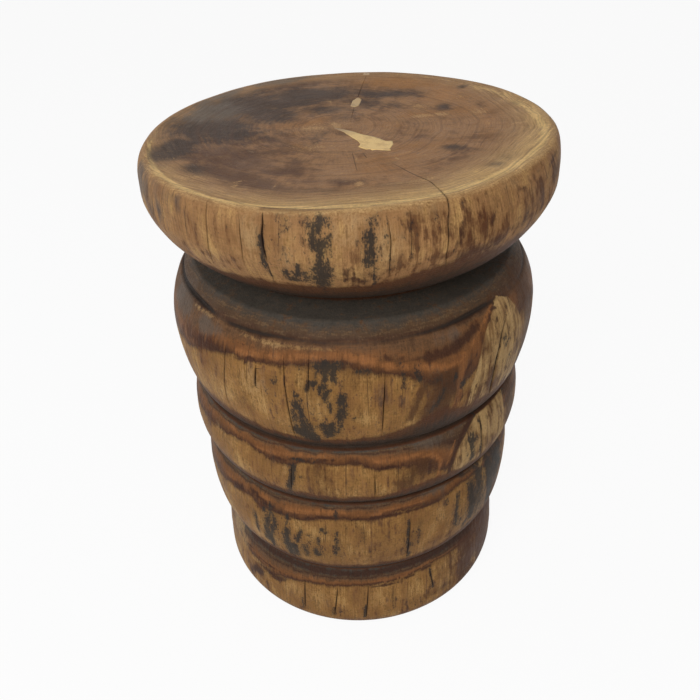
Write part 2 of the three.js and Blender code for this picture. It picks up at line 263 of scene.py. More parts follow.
def log_outline():
    """The log's outline from the middle of the foot to the middle of the seat, as columns of
    radius, height and station, with rows spaced by ROW_SPACING and CLOSE_ROWS."""
    parts = [np.array([[0.0, 0.0]])]
    for below, below_hollow, line, above, above_hollow, fullness_below, fullness_above in SIDES:
        lower = quarter(below, below_hollow, line, fullness_below)
        upper = quarter(above, above_hollow, line, fullness_above)[::-1]
        if below_hollow:
            parts.append(hollow_between(parts[-1][-1, 0], lower[0, 0], below, below_hollow))
        parts += [lower, upper[1:]]
    side = np.concatenate(parts)
    inward = np.linspace(1, 0, OUTLINE_STEPS)[1:] * CREST[0]
    outline = np.concatenate([side, np.stack([inward, dish_height(inward)], 1)])
    station = np.concatenate([side[:, 1], CREST[1] + CREST[0] - inward])
    station[0] = -FOOT[0]
    length = np.concatenate([[0], np.cumsum(np.hypot(*np.diff(outline, axis=0).T))])
    fine = np.linspace(0, length[-1], FINE_STEPS)
    fine_station = np.interp(fine, length, station)
    spacing = np.full(fine.shape, float(ROW_SPACING))
    spacing[fine_station < 0] = FOOT[0] / FOOT_ROWS
    for place, reach, close in CLOSE_ROWS:
        near = 1 - smooth(reach, reach * 2, np.abs(fine_station - place))
        spacing = spacing + (np.minimum(spacing, close) - spacing) * near
    spacing[fine_station > CREST[1] + SEAT_SPACING_FROM] = SEAT_SPACING
    count = np.concatenate([[0], np.cumsum(np.diff(fine) / spacing[1:])])
    rows = np.interp(np.linspace(0, count[-1], int(count[-1])), count, fine)
    columns = (np.interp(rows, length, part) for part in (*outline.T, station))
    return np.stack(list(columns), 1)


def tracks_of(checks, station, radius):
    """For each track, its bearing and its half width at every row. Between its checks a track
    runs straight on, and where it has none it keeps a narrow width."""
    bearings, halves = [], []
    for group in checks.values():
        points = sorted({point for path, _, _ in group for point in path})
        bearings.append(np.interp(station, *np.array(points).T))
        half = np.minimum(SHUT_TRACK, SHUT_TRACK_SHARE * radius)
        for path, width, _ in group:
            high, low = path[0][0], path[-1][0]
            half = np.maximum(half, width / 2 * opening(station, low, high))
        halves.append(half)
    order = np.argsort([bearing.mean() for bearing in bearings])
    return np.array(bearings)[order], np.array(halves)[order]


def opening(station, low, high):
    """How far a check is open at a station, from 0 at its ends to 1 at its middle: the root of
    half a sine wave."""
    share = np.clip((station - low) / (high - low), 0, 1)
    return np.sqrt(np.sin(share * math.pi))


def grid_bearings(station, radius):
    """The bearing of every column at every row: a cluster of columns across each track, which
    bends with its checks, and even columns between the clusters."""
    bearings, halves = tracks_of(CHECKS, station, radius)
    across = halves / np.maximum(radius, 1) / DEGREES
    columns = []
    for i in range(len(bearings)):
        here, there = i, (i + 1) % len(bearings)
        turn = 360 if there == 0 else 0
        columns += [bearings[here] + across[here] * share for share in CHECK_COLUMNS]
        left = bearings[here] + across[here] * CHECK_COLUMNS[-1]
        right = bearings[there] + turn + across[there] * CHECK_COLUMNS[0]
        gap = (bearings[there] + turn - bearings[here]).mean() * DEGREES * SEAT[0]
        behind = BACK_FROM < (left.mean() + right.mean()) / 2 % 360 < BACK_TO
        spacing = BACK_SPACING if behind else COLUMN_SPACING
        count = max(int(gap / spacing) - 2, 1)
        columns += [left + (right - left) * k / (count + 1) for k in range(1, count + 1)]
    return np.stack(columns, 1)


def by_hand(radius, height, bearing):
    """Turns radius, height and bearing into places on the hand-cut log: a little out of round,
    with the crest's own outline from the seat's widest line up and a lean from the neck."""
    angle = bearing * DEGREES
    body = BODY_OVAL * np.cos(2 * (angle - BODY_LONGEST * DEGREES)) / SEAT[0]
    corners = CREST_CORNERS * np.cos(3 * (angle - CORNER_BEARING * DEGREES))
    edge = (CREST_OVAL * np.cos(2 * (angle - CREST_LONGEST * DEGREES)) + corners) / CREST[0]
    swell = 1 + body + (edge - body) * smooth(SEAT[1], CREST[1], height)
    x, y = radius * np.sin(angle), -radius * np.cos(angle)
    leaning = smooth(NECK[1], CREST[1], height) / CREST[0]
    lifted = height + leaning * (LEAN_RIGHT * x + LEAN_BACK * y)
    return np.stack([x * swell, y * swell, lifted], -1)


def check_distances(checks, bearing, station, radius):
    """For each check: the signed distance of every point from it round the log, the half width
    that it has at that station, and its depth and width at its widest."""
    for path, width, depth in checks:
        points = np.array(path[::-1], float).T
        middle = np.interp(station, *points)
        half = width / 2 * opening(station, path[-1][0], path[0][0])
        yield turned_from(bearing, middle) * DEGREES * radius, half, depth, width


# Bands of colour round each ring, from the groove above it down to its face. Each is a tone and
# the height at which the wood has it, as (bearing, height) points. A cut that bulges out keeps
# the pale sapwood, and a cut that goes in lays the dark heartwood bare. At the base's top the
# charcoal band is also painted shade under the fourth ring.
CHARCOAL, BROWN, PURPLE, SHOULDER, ORANGE, EDGE, PALE, SAPWOOD = range(8)

BANDS = {
    "seat": ((SAPWOOD, ((0, 449),)),),
    "second": (
        (CHARCOAL, ((-180, 354), (-60, 356), (-26, 354), (0, 353), (28, 354), (60, 356), (120, 352))),
        (BROWN, ((-180, 347), (-60, 350), (-26, 348), (0, 347), (28, 348), (60, 350), (120, 346))),
        (PURPLE, ((0, 343.5),)),
        (SHOULDER, ((0, 340),)),
        (SHOULDER + 0.3, ((-180, 333), (-120, 336), (-70, 328), (-54, 322), (-45, 333), (-30, 335.5),
                          (-19, 337), (-6, 339), (2, 338), (12, 334.5), (21, 331), (30, 337), (38, 343),
                          (60, 341), (75, 332), (100, 334), (140, 336))),
        (ORANGE, ((-180, 328), (-120, 331), (-70, 322), (-54, 316), (-45, 328), (-36, 331), (-25, 331),
                  (-19, 333), (-12, 335.5), (-5, 336), (0, 335), (5, 331), (8, 328), (15, 324),
                  (19, 321), (24, 319), (31, 316), (38, 330), (45, 338), (60, 334), (75, 327),
                  (100, 329), (140, 330))),
        (EDGE, ((-180, 318), (-150, 322), (-120, 319), (-90, 314), (-54, 308), (-43, 318), (-37, 323),
                (-30, 321), (-24, 323.5), (-21, 323), (-16, 326), (-12, 328.5), (-6, 331.5), (-2, 329.5),
                (4, 323), (8, 320.5), (12, 317.5), (17.5, 311), (20, 305.5), (24, 302), (30, 296),
                (34, 300), (60, 322), (75, 316), (100, 312), (140, 320))),
        (PALE, ((-180, 312), (-150, 317), (-120, 314), (-90, 308), (-54, 303), (-43, 315), (-37, 320.5),
                (-24, 321), (-16, 323), (-12, 323), (-7, 321), (-2, 320), (2, 318), (6, 317), (12, 314),
                (16, 307), (19, 296), (24, 282), (30, 284), (34, 296), (60, 316), (75, 310),
                (100, 306), (140, 315))),
    ),
    "third": (
        (CHARCOAL, ((0, 238),)),
        (BROWN - 0.1, ((-180, 235), (-60, 236), (0, 236.5), (60, 236))),
        (SHOULDER + 0.4, ((-180, 231), (-100, 229), (-60, 234), (-45, 235), (-25, 234), (-13, 235), (-6, 236),
                          (2, 235), (10, 232), (19, 231.5), (24, 228), (30, 220), (60, 232), (120, 229))),
        (ORANGE, ((-180, 229), (-100, 227), (-60, 232), (-45, 233), (-25, 232), (-13, 233), (-6, 234),
                  (2, 233), (10, 230), (19, 229.5), (24, 226), (30, 216), (60, 230), (120, 227))),
        (EDGE, ((-180, 222), (-150, 219), (-100, 218), (-60, 222), (-45, 226), (-35, 227), (-29, 222.5),
                (-25, 221), (-21, 221.5), (-18, 227), (-13, 228), (-5, 227), (0, 228), (2, 225.5),
                (6, 222), (11.5, 219), (15.5, 220.5), (20, 215), (26, 206), (60, 224), (100, 217),
                (140, 221))),
        (PALE, ((-180, 219), (-150, 216), (-100, 214), (-60, 217), (-45, 223), (-35, 224), (-29, 219),
                (-21, 219), (-18, 224), (-13, 225.5), (-5, 225), (0, 225.5), (2, 223), (6, 219.5),
                (11.5, 216.5), (16, 215), (21, 203), (27, 198), (60, 220), (100, 214), (140, 218))),
    ),
    "fourth": (
        (CHARCOAL, ((0, 174.5),)),
        (BROWN - 0.1, ((-180, 171), (-60, 171), (0, 172), (35, 173.5), (60, 172))),
        (SHOULDER + 0.4, ((-180, 167), (-60, 167), (-45, 169), (-36, 169.5), (-31, 166.5), (-24, 168),
                          (-15, 170), (2, 169), (12, 170), (28, 171.5), (60, 170), (120, 167))),
        (ORANGE, ((-180, 165), (-60, 165), (-45, 167), (-36, 168), (-31, 164.5), (-24, 166), (-15, 168),
                  (2, 167), (12, 168), (28, 169.5), (60, 168), (120, 165))),
        (EDGE, ((-180, 157), (-150, 154), (-110, 156), (-72, 152), (-58, 151), (-48, 156), (-41.5, 158),
                (-37.5, 152), (-33, 154), (-28, 153), (-22, 155), (-17.5, 156), (-11.5, 160), (-6, 162),
                (1.5, 159), (7, 160), (13.5, 163), (20, 162), (25, 160), (29, 161), (33, 164),
                (60, 163), (100, 156), (140, 159))),
        (PALE, ((-180, 153), (-150, 150), (-110, 152), (-72, 146), (-58, 145), (-48, 152), (-41.5, 155),
                (-37.5, 148), (-33, 150), (-28, 150), (-22, 152), (-17.5, 153), (-11.5, 157.5),
                (-6, 159.5), (1.5, 156), (7, 157.5), (13.5, 160), (20, 159), (25, 157), (29, 158),
                (33, 161), (60, 160), (100, 152), (140, 155))),
    ),
    "base": (
        # Its charcoal band is dark wood and painted shade under the fourth ring
        (CHARCOAL, ((-180, 82), (-60, 80), (-30, 77), (0, 76.5), (25, 78), (60, 82))),
        (BROWN - 0.2, ((-180, 77), (-60, 74), (-30, 72.5), (0, 73), (30, 75), (60, 77))),
        (SHOULDER - 0.2, ((-180, 70), (-60, 68), (-30, 69), (0, 71), (30, 73), (60, 70))),
        (EDGE - 0.3, ((-180, 62), (-120, 66), (-75, 65), (-60, 63), (-53, 58), (-45, 53), (-39, 54),
                      (-35, 53), (-27, 58), (-21, 61), (-14, 62), (-5, 64), (1, 65.5), (7, 65.5),
                      (15, 67.5), (23, 70), (38, 73), (60, 66), (90, 60), (140, 66))),
        (PALE, ((-180, 57), (-120, 62), (-75, 60), (-60, 58), (-53, 50), (-45, 42), (-39, 43), (-35, 47),
                (-27, 54), (-21, 57), (-14, 58), (-5, 60), (1, 61), (7, 60), (15, 62), (23, 65),
                (38, 66), (60, 60), (90, 54), (140, 61))),
    ),
}

# The lower edge of each ring, where the cut turns under: the heights at which its pale face
# ends, at which it is reddish heartwood with painted shade, and at which it is as dark as the
# painted shade in the groove
UNDERSIDES = {
    "seat": (
        ((-180, 402), (-110, 400), (-70, 404), (-45, 396), (-28, 397), (-13, 396), (0, 395), (11, 400),
         (18, 406), (29, 412), (39, 410), (60, 404), (90, 398), (130, 405)),
        ((-180, 394), (-110, 392), (-45, 388), (-28, 391), (-13, 391.5), (0, 391), (11, 395), (18, 400),
         (29, 403), (39, 400), (60, 394), (90, 390), (130, 396)),
        ((-180, 371), (-60, 372), (0, 372), (60, 374)),
    ),
    "second": (
        ((-180, 264), (-120, 260), (-70, 268), (-40, 264), (-28, 258), (-17, 256), (-5, 257), (2, 260),
         (10, 263), (15, 268), (20, 274), (25, 279), (31, 271), (45, 266), (90, 262)),
        ((-180, 258), (-120, 254), (-70, 260), (-40, 258), (-28, 254), (-17, 252), (-5, 253), (2, 255),
         (10, 257), (15, 262), (20, 268), (25, 272), (31, 264), (45, 258), (90, 256)),
        ((0, 245.5),),
    ),
    "third": (
        ((-180, 197), (-47, 198), (-29, 196), (-6, 195), (4, 194), (11, 195), (15, 197), (19, 200),
         (23, 201), (30, 198), (45, 197), (120, 196)),
        ((-180, 191), (-47, 192), (-29, 190), (-6, 189), (4, 188), (11, 189), (15, 191), (19, 194),
         (23, 196), (30, 193), (45, 190), (120, 191)),
        ((0, 181),),
    ),
    "fourth": (
        ((-180, 104), (-60, 108), (-30, 103), (0, 101), (20, 102), (35, 106), (60, 110), (120, 105)),
        ((-180, 96), (-60, 99), (-30, 95), (0, 94), (20, 95), (35, 99), (60, 100), (120, 97)),
        ((0, 88.5),),
    ),
    "base": (
        ((-180, 22), (-30, 21), (30, 24)),
        ((0, 4),),
        ((0, -60),),
    ),
}

# Dabs of colour on the sides: bearing, height, half width and half height in millimetres, and
# strength. The black ones are stains along the fibres, and the others are patches of the wood. Some
# are painted light: the two broad faint black ones on the fourth ring's front and the red ones at
# the base's right are painted shade, the grey ones at the left are painted sheen over greyer
# wood, and the light ones at the base's left end and under the cut line on the left are painted
# highlights.
DABS = {
    "black": (
        (-11, 424, 18, 20, 0.28), (-8, 404, 14, 10, 0.5), (-18, 424, 5, 14, 0.3), (5, 416, 5, 24, 0.5),
        (-9, 292, 20, 30, 0.42), (-12, 264, 20, 12, 0.52), (-8, 320, 18, 9, 0.45), (27, 298, 12, 16, 0.35),
        (-20, 212, 7, 18, 0.4), (38, 212, 9, 18, 0.5), (-30, 136, 18, 26, 0.5), (-15, 122, 22, 20, 0.5),
        (-6, 124, 12, 16, 0.4), (46, 136, 16, 32, 1.15), (17, 114, 9, 14, 0.4), (60, 152, 20, 24, 1.15),
        # The two broad faint dabs at bearings 8 and 28 on the fourth ring are painted shade
        (8, 128, 36, 20, 0.25), (28, 140, 20, 14, 0.2), (-33, 126, 12, 30, 0.55), (-25.5, 111, 9, 12, 0.8),
        (-19.5, 113, 11, 12, 0.6), (-15.2, 114, 5, 5, 0.9), (-13, 139, 8, 12, 0.45), (40, 128, 12, 34, 0.6),
        (-39.4, 127, 4, 14, 0.5), (-12, 262, 16, 8, 0.35), (47, 300, 10, 24, 0.35), (-23, 290, 8, 26, 0.3),
        (-8, 26, 7, 5, 0.45), (20, 26, 12, 5, 0.4), (150, 420, 14, 22, 0.45), (158, 292, 16, 26, 0.45),
        (-147, 126, 14, 24, 0.45), (150, 424, 3, 16, 0.9), (146, 412, 2.4, 14, 0.7), (156, 300, 4, 22, 0.8),
        (161, 280, 3, 14, 0.7), (-150, 130, 4, 20, 0.9), (-144, 118, 3, 16, 0.8), (-128, 208, 2.4, 14, 0.7),
        (120, 132, 3, 24, 0.7),
    ),
    "red": (
        # The first three, at the base's right, are painted shade
        (60, 56, 20, 28, 1.3), (50, 42, 14, 24, 1), (72, 50, 18, 34, 1.2), (43, 72, 16, 5, 0.8),
        (30, 426, 12, 12, 0.75), (34, 431, 8, 10, 0.5), (25.5, 428, 6, 12, 0.45), (39, 433, 6, 9, 0.3),
        (37, 274, 15, 16, 0.6), (50, 262, 20, 8, 0.5), (40, 292, 8, 12, 0.35), (50, 425, 24, 22, 0.5),
        (40, 432, 12, 12, 0.4), (10, 412, 14, 14, 0.4), (-35, 410, 16, 10, 0.35), (15, 440, 9, 6, 0.8),
        (22, 432, 13, 10, 0.7), (14, 428, 3, 12, 0.6), (20, 415, 7, 10, 0.6), (29, 425, 9, 16, 0.8),
        (34, 410, 9, 12, 0.7), (39, 420, 4, 14, 0.6), (1, 420, 11, 13, 0.45), (-54, 317, 14, 8, 1),
        (-44, 322, 6, 6, 0.7), (-39, 47, 8, 5, 1), (-45, 39, 6, 8, 1), (-51, 30, 6, 8, 0.9),
        (-57, 222, 10, 5, 0.7), (-46, 157, 10, 4, 0.8), (-36, 153, 6, 6, 0.6), (100, 430, 16, 14, 0.7),
        (-110, 425, 20, 16, 0.6), (170, 420, 14, 12, 0.6), (-95, 300, 10, 14, 0.6), (110, 208, 14, 8, 0.6),
    ),
    # Grey: greyer wood, and painted sheen on the left of the seat's side and the second ring
    "grey": (
        (-43, 436, 16, 14, 0.35), (-56, 434, 20, 18, 0.55), (-47, 444, 18, 6, 0.5), (-64, 336, 22, 10, 1),
        (-48, 333, 10, 6, 0.9), (-42, 333, 8, 5, 0.5), (28, 336, 16, 6, 0.5), (-66, 437, 22, 14, 1),
        (25, 235, 16, 5, 0.7), (27, 174, 16, 5, 0.7), (-120, 334, 26, 8, 0.7), (140, 338, 30, 8, 0.7),
    ),
    "light": (
        # Light: pale wood, with painted highlights at the base's left end and under the cut line on the left
        (-62, 70, 12, 12, 1.2), (-56, 62, 8, 9, 0.9), (-22, 432, 8, 16, 0.8), (-1, 436, 9, 10, 0.8),
        (8, 426, 10, 14, 0.8), (-14, 424, 6, 18, 0.6), (-29, 302, 14, 16, 0.6), (-50, 222, 10, 8, 0.5),
        (49.5, 434.5, 5, 3, 0.7), (46.6, 424, 6, 4, 0.6), (0, 444, 14, 6, 0.7), (17, 446, 16, 4, 0.6),
        (44, 445, 22, 4, 0.6), (49.8, 146, 1.9, 22, 1), (48, 112, 1.7, 8, 0.9), (39.6, 124, 1.8, 14, 0.8),
        (-34, 341, 9, 2.2, 0.45), (-52, 340, 18, 1.8, 0.5), (-9, 298, 1.4, 1.6, 0.8),
        (-23, 337, 12, 2.4, 0.45),
    ),
}

# Strokes on the sides: (bearing, height) points, half width in millimetres, and strength. Ink is
# the black stains, rust and amber the dark and bright lines of the bands, cream the palest wood
# and umber the broad brown parts. The cream strokes just under the cut line on the left are
# painted highlight, and the broad umber ones on the right and on the fourth ring's front are
# painted shade.
STROKES = {
    "ink": (
        (((48.5, 428), (47, 419), (45, 412)), 1.8, 0.6), (((58, 440), (60, 433)), 1, 0.8),
        (((-19.4, 412), (-19.4, 424), (-19.5, 434)), 1.8, 1.1), (((-19, 408), (-18.6, 400)), 1.2, 0.6),
        (((-14.6, 449), (-14.1, 441)), 3.5, 0.5), (((-9.6, 448), (-9.2, 442)), 2, 0.65),
        (((-7, 455), (-6.6, 447), (-6.6, 438)), 1.8, 0.9), (((-5.2, 446), (-4.9, 443)), 2.6, 0.85),
        (((-7.8, 442), (-8.2, 434), (-8, 428)), 2.2, 1), (((-4.6, 438), (-4.8, 430), (-5, 422)), 1.8, 0.9),
        (((-6.2, 432), (-6.6, 424), (-7, 411), (-7, 396)), 3.2, 1.1), (((-6.6, 413), (-6.8, 398)), 6, 1),
        (((-11.7, 414), (-12.2, 404)), 2.2, 0.9), (((-15, 408), (-14.8, 401), (-12.6, 400)), 2.8, 0.95),
        (((-10.4, 408), (-10, 398)), 1.1, 0.75), (((-14.7, 427), (-15.1, 416)), 1.1, 0.7),
        (((4.4, 441), (5, 444)), 4, 0.55), (((3.8, 434), (4.1, 426), (3.8, 416)), 3.6, 1),
        (((5, 414), (5.2, 394)), 0.8, 0.7), (((18.8, 441), (19.5, 440)), 2.6, 0.6),
        (((13.1, 440), (13.1, 418)), 0.9, 0.5), (((8, 446), (8.3, 430), (8.5, 404)), 0.6, 0.6),
        (((-16.4, 293), (-15.3, 286), (-14.8, 276), (-14.6, 262)), 3.2, 1),
        (((-17.6, 284), (-17.2, 268)), 1.6, 0.9), (((-16.5, 262), (-14, 258), (-12.6, 256)), 5, 1.1),
        (((-16.4, 303), (-15.2, 297)), 2, 0.8), (((-12.9, 272), (-12.6, 258)), 2.6, 0.9),
        (((-12.8, 308), (-12.3, 312.5), (-10.5, 313), (-9.2, 311)), 2, 1.15),
        (((-9.1, 309), (-8.4, 302), (-8.2, 299)), 2.2, 1.1),
        (((-8.6, 313), (-7.3, 309), (-6.9, 306)), 1.6, 1.1),
        (((-7.5, 300), (-6.9, 290), (-6.2, 281)), 0.9, 0.9),
        (((-3.8, 302), (-3.7, 290), (-4.2, 282)), 3.2, 1.15), (((-4.3, 280), (-5.2, 265)), 2.4, 0.8),
        (((-9, 272), (-8.3, 266), (-7.6, 261)), 3.4, 1.1), (((-6.6, 275), (-6.8, 266)), 1.8, 1.1),
        (((-11.5, 270), (-9.5, 272)), 2.4, 0.6), (((-10.6, 327), (-7, 327), (-3.6, 328)), 3, 0.9),
        (((-7.9, 330), (-8.1, 316)), 1.6, 1.1), (((-7.6, 339), (-7.8, 331)), 0.7, 0.7),
        (((-5.9, 326), (-5.7, 317)), 2.6, 1), (((-10.2, 324), (-10.2, 317)), 1, 0.8),
        (((-0.5, 280.5), (-0.4, 279.5)), 1.3, 1.1), (((-15.5, 325), (-12.5, 325)), 1.6, 0.7),
        (((0.6, 323), (3.6, 322)), 2, 0.8), (((-3.6, 318), (-3.6, 309)), 1.6, 0.6),
        (((-21.6, 313), (-21, 302)), 1.1, 0.95), (((-20.6, 300), (-20.1, 297)), 0.9, 0.7),
        (((12.6, 317), (12.7, 306)), 2.4, 0.75), (((11.9, 328), (12.4, 319)), 1.6, 0.7),
        (((15.9, 319), (17, 311)), 2.6, 0.9), (((30.7, 295), (30.7, 290)), 2.2, 1.1),
        (((28.4, 304), (28.3, 300)), 1.4, 0.9), (((20, 305), (22.8, 305)), 3, 0.5),
        (((24.5, 294), (23.4, 284), (21, 276)), 2.4, 0.7), (((47.5, 313), (48.6, 306)), 2.6, 0.8),
        (((51.3, 311), (48.4, 305)), 1, 0.7), (((51.5, 293), (51, 287)), 3, 0.65),
        (((-20, 221), (-20.3, 210), (-21.8, 198)), 2.3, 1.1), (((-21.9, 195), (-21.8, 190)), 2.5, 0.8),
        (((-19.6, 228), (-16, 229.5), (-13.5, 229)), 1.4, 0.9), (((-17.6, 213), (-17.3, 212)), 1.6, 0.8),
        (((38.8, 225), (38.9, 213), (39, 199)), 2.2, 1.05), (((36.8, 221), (41.4, 217)), 1.6, 0.8),
        (((41.8, 239), (43.6, 227), (42.9, 208), (43.8, 190)), 0.9, 0.9),
        (((36.5, 210), (36.2, 203)), 1.6, 0.6), (((-39.4, 141), (-38.8, 129)), 2.2, 0.95),
        (((-38.8, 129), (-39.2, 112)), 1.5, 0.9), (((-35, 152), (-33.4, 143)), 1.7, 0.9),
        (((-31.8, 159), (-31.6, 150), (-33.6, 138)), 2.4, 0.9),
        (((-33.6, 138), (-34.5, 122), (-34.9, 109)), 2.8, 1), (((-30, 146), (-30.8, 134)), 2.2, 0.85),
        (((-30.8, 134), (-32.8, 118), (-32.5, 102)), 2.4, 0.95), (((-24.8, 156), (-25.6, 136)), 1.1, 0.9),
        (((-25.6, 136), (-26.1, 118), (-25.4, 103)), 3.6, 1.05), (((-23.6, 118), (-23.2, 104)), 4, 0.9),
        (((-20.2, 142), (-22.2, 126)), 2, 0.85), (((-19.8, 155), (-20.4, 143)), 1, 0.75),
        (((-19.8, 122), (-19.2, 108)), 2.8, 0.75), (((-16.9, 138), (-16.7, 136)), 1.8, 0.8),
        (((-13.2, 147), (-11.6, 145)), 2.4, 0.95), (((-13.8, 137), (-13.9, 127)), 1.5, 0.75),
        (((-15.4, 119), (-14.8, 112)), 3, 1), (((-8.1, 169), (-8.1, 158)), 1.4, 0.6),
        (((-8, 146), (-7.9, 129), (-8.9, 114)), 2.2, 0.7), (((0.5, 150), (0.8, 137)), 2.8, 0.5),
        (((16.2, 152), (16.1, 120), (16.6, 100)), 1, 0.95), (((17, 121), (17.4, 117)), 2.6, 0.65),
        (((20.2, 145), (19.6, 118)), 3, 0.4), (((30.9, 158), (30.4, 153)), 1.6, 0.9),
        (((35.8, 157), (35.2, 139), (35.5, 121)), 2.2, 0.9), (((37.5, 124), (37, 116)), 1.6, 0.8),
        (((38.4, 175), (38.9, 172)), 2.4, 0.9), (((42, 158), (43, 138), (43.2, 116)), 5, 0.85),
        (((41, 114), (40, 108)), 3, 0.7), (((46.2, 170), (46.4, 150)), 4, 0.8),
        (((48, 164), (46.4, 144)), 3, 0.9), (((53, 165), (53.8, 144), (55.6, 113)), 4.5, 1.15),
        (((60, 160), (62, 150)), 8, 0.8), (((-11, 30), (-11.6, 20)), 1.6, 0.8),
        (((1, 36), (0.6, 21)), 1.8, 0.9), (((-23.8, 34), (-23.9, 19)), 1, 0.7),
        (((27, 63), (28.6, 36)), 1.2, 0.9), (((11.8, 52), (11.9, 27)), 0.7, 0.6),
    ),
    "rust": (
        (((-50, 78), (-30, 77.5), (0, 77), (20, 79), (50, 78)), 4, 0.9),
        (((33.7, 311), (31.5, 303), (30.8, 292), (31.2, 276)), 1.4, 0.7),
        (((46.6, 344), (46, 338), (44.6, 327)), 0.9, 0.9),
        (((45, 341), (38.4, 327), (35.2, 312)), 1.4, 0.75),
        (((37.2, 439), (42.4, 438), (44.8, 441), (49, 440), (52.2, 434), (53.5, 428), (53, 421)), 1.4, 0.6),
        (((36, 437), (34.1, 427)), 1.8, 0.8), (((59.9, 443), (62.2, 433)), 1.8, 0.7),
        (((68.8, 445), (60, 441)), 2, 0.6),
        (((-36.6, 322), (-33, 321), (-29, 323.5), (-25, 325.5), (-21, 324)), 1.5, 0.9),
        (((-34.5, 332.5), (-29, 331.5), (-25.5, 331)), 1.1, 0.6),
        (((8, 331), (14, 328), (20, 326)), 2.5, 0.7),
        (((20, 327), (25, 325.5), (29, 327), (32.6, 331), (36, 334.5)), 4.5, 1),
        (((-56, 314), (-48, 319), (-41, 321), (-36.5, 322)), 5, 0.7),
        (((-27.6, 223), (-24, 225), (-20.8, 226.5)), 1.3, 0.8),
        (((-20.8, 227), (-17, 228.5), (-10, 230), (-5, 230), (0, 228), (3.5, 223.5), (8, 221.5),
          (12.5, 221), (16, 218.5)), 1.4, 0.95),
        (((40.5, 239), (34.8, 230), (31.6, 219), (29.6, 206), (29.3, 197)), 2.2, 0.95),
        (((22.2, 220), (22.4, 204)), 1.1, 0.7), (((19.1, 219), (19.3, 201)), 1.8, 0.75),
        (((15, 219), (16, 217)), 2.6, 0.9), (((-48.5, 157), (-45.8, 158.5)), 4, 0.95),
        (((-25.6, 151), (-20, 155), (-14, 160), (-8, 162), (-3, 162), (1.6, 160), (8, 160.5), (13, 161.5),
          (20, 161.5), (28, 162)), 1.3, 0.95),
        (((-40.6, 165), (-36.5, 161), (-32, 157), (-28, 155)), 2.6, 0.9),
        (((-48.6, 35), (-44, 39)), 4.5, 1), (((-53, 22), (-48.6, 33)), 4, 0.6),
        (((-41.2, 50), (-36.4, 45), (-31.3, 50)), 3, 0.95),
        (((-53, 61), (-43.4, 57), (-33.6, 56), (-26.6, 56.5)), 1.2, 0.9),
        (((0, 62), (7, 60.5), (14, 61.5), (21, 65), (28, 68)), 1.4, 0.9),
        (((-20, 450.2), (-13, 450.4), (-6.6, 450.6), (-1, 451.6)), 0.9, 0.7),
        (((-1.4, 407), (2, 400)), 7, 0.6), (((12, 442), (13, 438)), 4, 0.6),
        (((25.8, 433), (24.4, 419)), 3.2, 0.7),
    ),
    "amber": (
        (((-35.3, 327.5), (-31.8, 326.5), (-29, 326)), 4, 1),
        (((31, 320), (30.2, 302), (30, 282), (28.4, 268)), 3.6, 0.9),
        (((-27, 328), (-21.4, 329.5), (-17, 331), (-10, 333.5), (-4, 334)), 3, 0.9),
        (((-4, 334), (2, 331.5), (8, 326), (14, 322), (20, 318.5), (25, 314.5), (29, 314)), 3.4, 1),
        (((32.9, 321), (36.6, 330), (41, 337), (45.2, 342)), 1.6, 1),
        (((15, 265), (21, 267), (27.2, 270), (34, 269)), 2.6, 0.7),
        (((-46, 233), (-38, 230), (-30, 228), (-24.2, 229.5), (-17.6, 232), (-8.4, 233.5)), 2.2, 0.8),
        (((3.6, 230), (8, 227.5), (12.6, 227), (19, 227), (24, 222.5), (26.2, 215), (25.8, 206),
          (24.4, 196)), 2.2, 1),
        (((31.8, 228), (30.2, 221), (28, 208), (27.4, 197)), 1.4, 0.9),
        (((4.9, 190.5), (12.6, 192), (20.8, 196)), 1.2, 0.8), (((-56, 159), (-49, 162)), 3, 0.9),
        (((-36, 165.5), (-32.4, 163)), 3.4, 1),
        (((-25.5, 161.5), (-20, 162.5), (-15, 165.5), (-9, 167)), 3, 1),
        (((-6.5, 167), (0, 164), (6.6, 163.5)), 1.8, 0.8),
        (((6.6, 166), (11.8, 167.5), (17, 167), (24, 166)), 1.2, 0.8),
        (((-24.4, 64), (-16, 66.5), (-6.5, 68)), 3, 0.6),
        (((2.9, 66.5), (12.5, 66), (20.8, 69), (27.6, 73)), 2, 0.8),
        (((130, 322), (160, 330), (200, 322)), 4, 0.8),
    ),
    "cream": (
        # The first strokes, just under the cut line on the left, are painted highlight
        (((-33.4, 338.5), (-26, 337.8), (-20.4, 338)), 1.6, 0.6), (((-20.4, 338), (-14.6, 338)), 1.3, 0.6),
        (((-14.6, 338), (-5, 338.3)), 1.1, 0.5), (((-26, 337.5), (-24, 337.8)), 2, 0.4),
        (((-55, 340), (-52, 340), (-44.1, 340.8)), 1.2, 0.55),
        (((-12.6, 308), (-12.4, 296), (-11.8, 284)), 2.6, 0.6), (((42.5, 233), (41.9, 220)), 1.4, 1),
        (((-22.6, 218), (-23, 212)), 2.4, 0.7), (((28, 150), (29, 140)), 5, 0.7),
        (((49, 170), (49.6, 146), (49.4, 125), (46.8, 113)), 1.7, 1.2),
        (((-50.5, 48), (-43.5, 50), (-38.6, 52)), 2.6, 0.8), (((-17, 46), (-17, 38)), 9, 0.6),
        (((5, 47), (5, 40)), 9, 0.5), (((20, 50), (19, 40)), 7, 0.5),
    ),
    "umber": (
        # Painted shade: the first two, on the fourth ring's front, and the broad ones down the right side, at
        # bearings 33 to 66
        (((4, 148), (6, 108)), 18, 0.3), (((30, 148), (30, 112)), 12, 0.3),
        (((36, 440), (33, 424)), 7, 0.5), (((-44, 440), (-42, 420)), 14, 0.25),
        (((33, 60), (31, 24)), 7, 0.35), (((39, 62), (38, 22)), 8, 0.5),
        (((28.1, 439), (28.1, 412)), 4, 0.45), (((30.6, 435), (32.5, 408)), 5, 0.45),
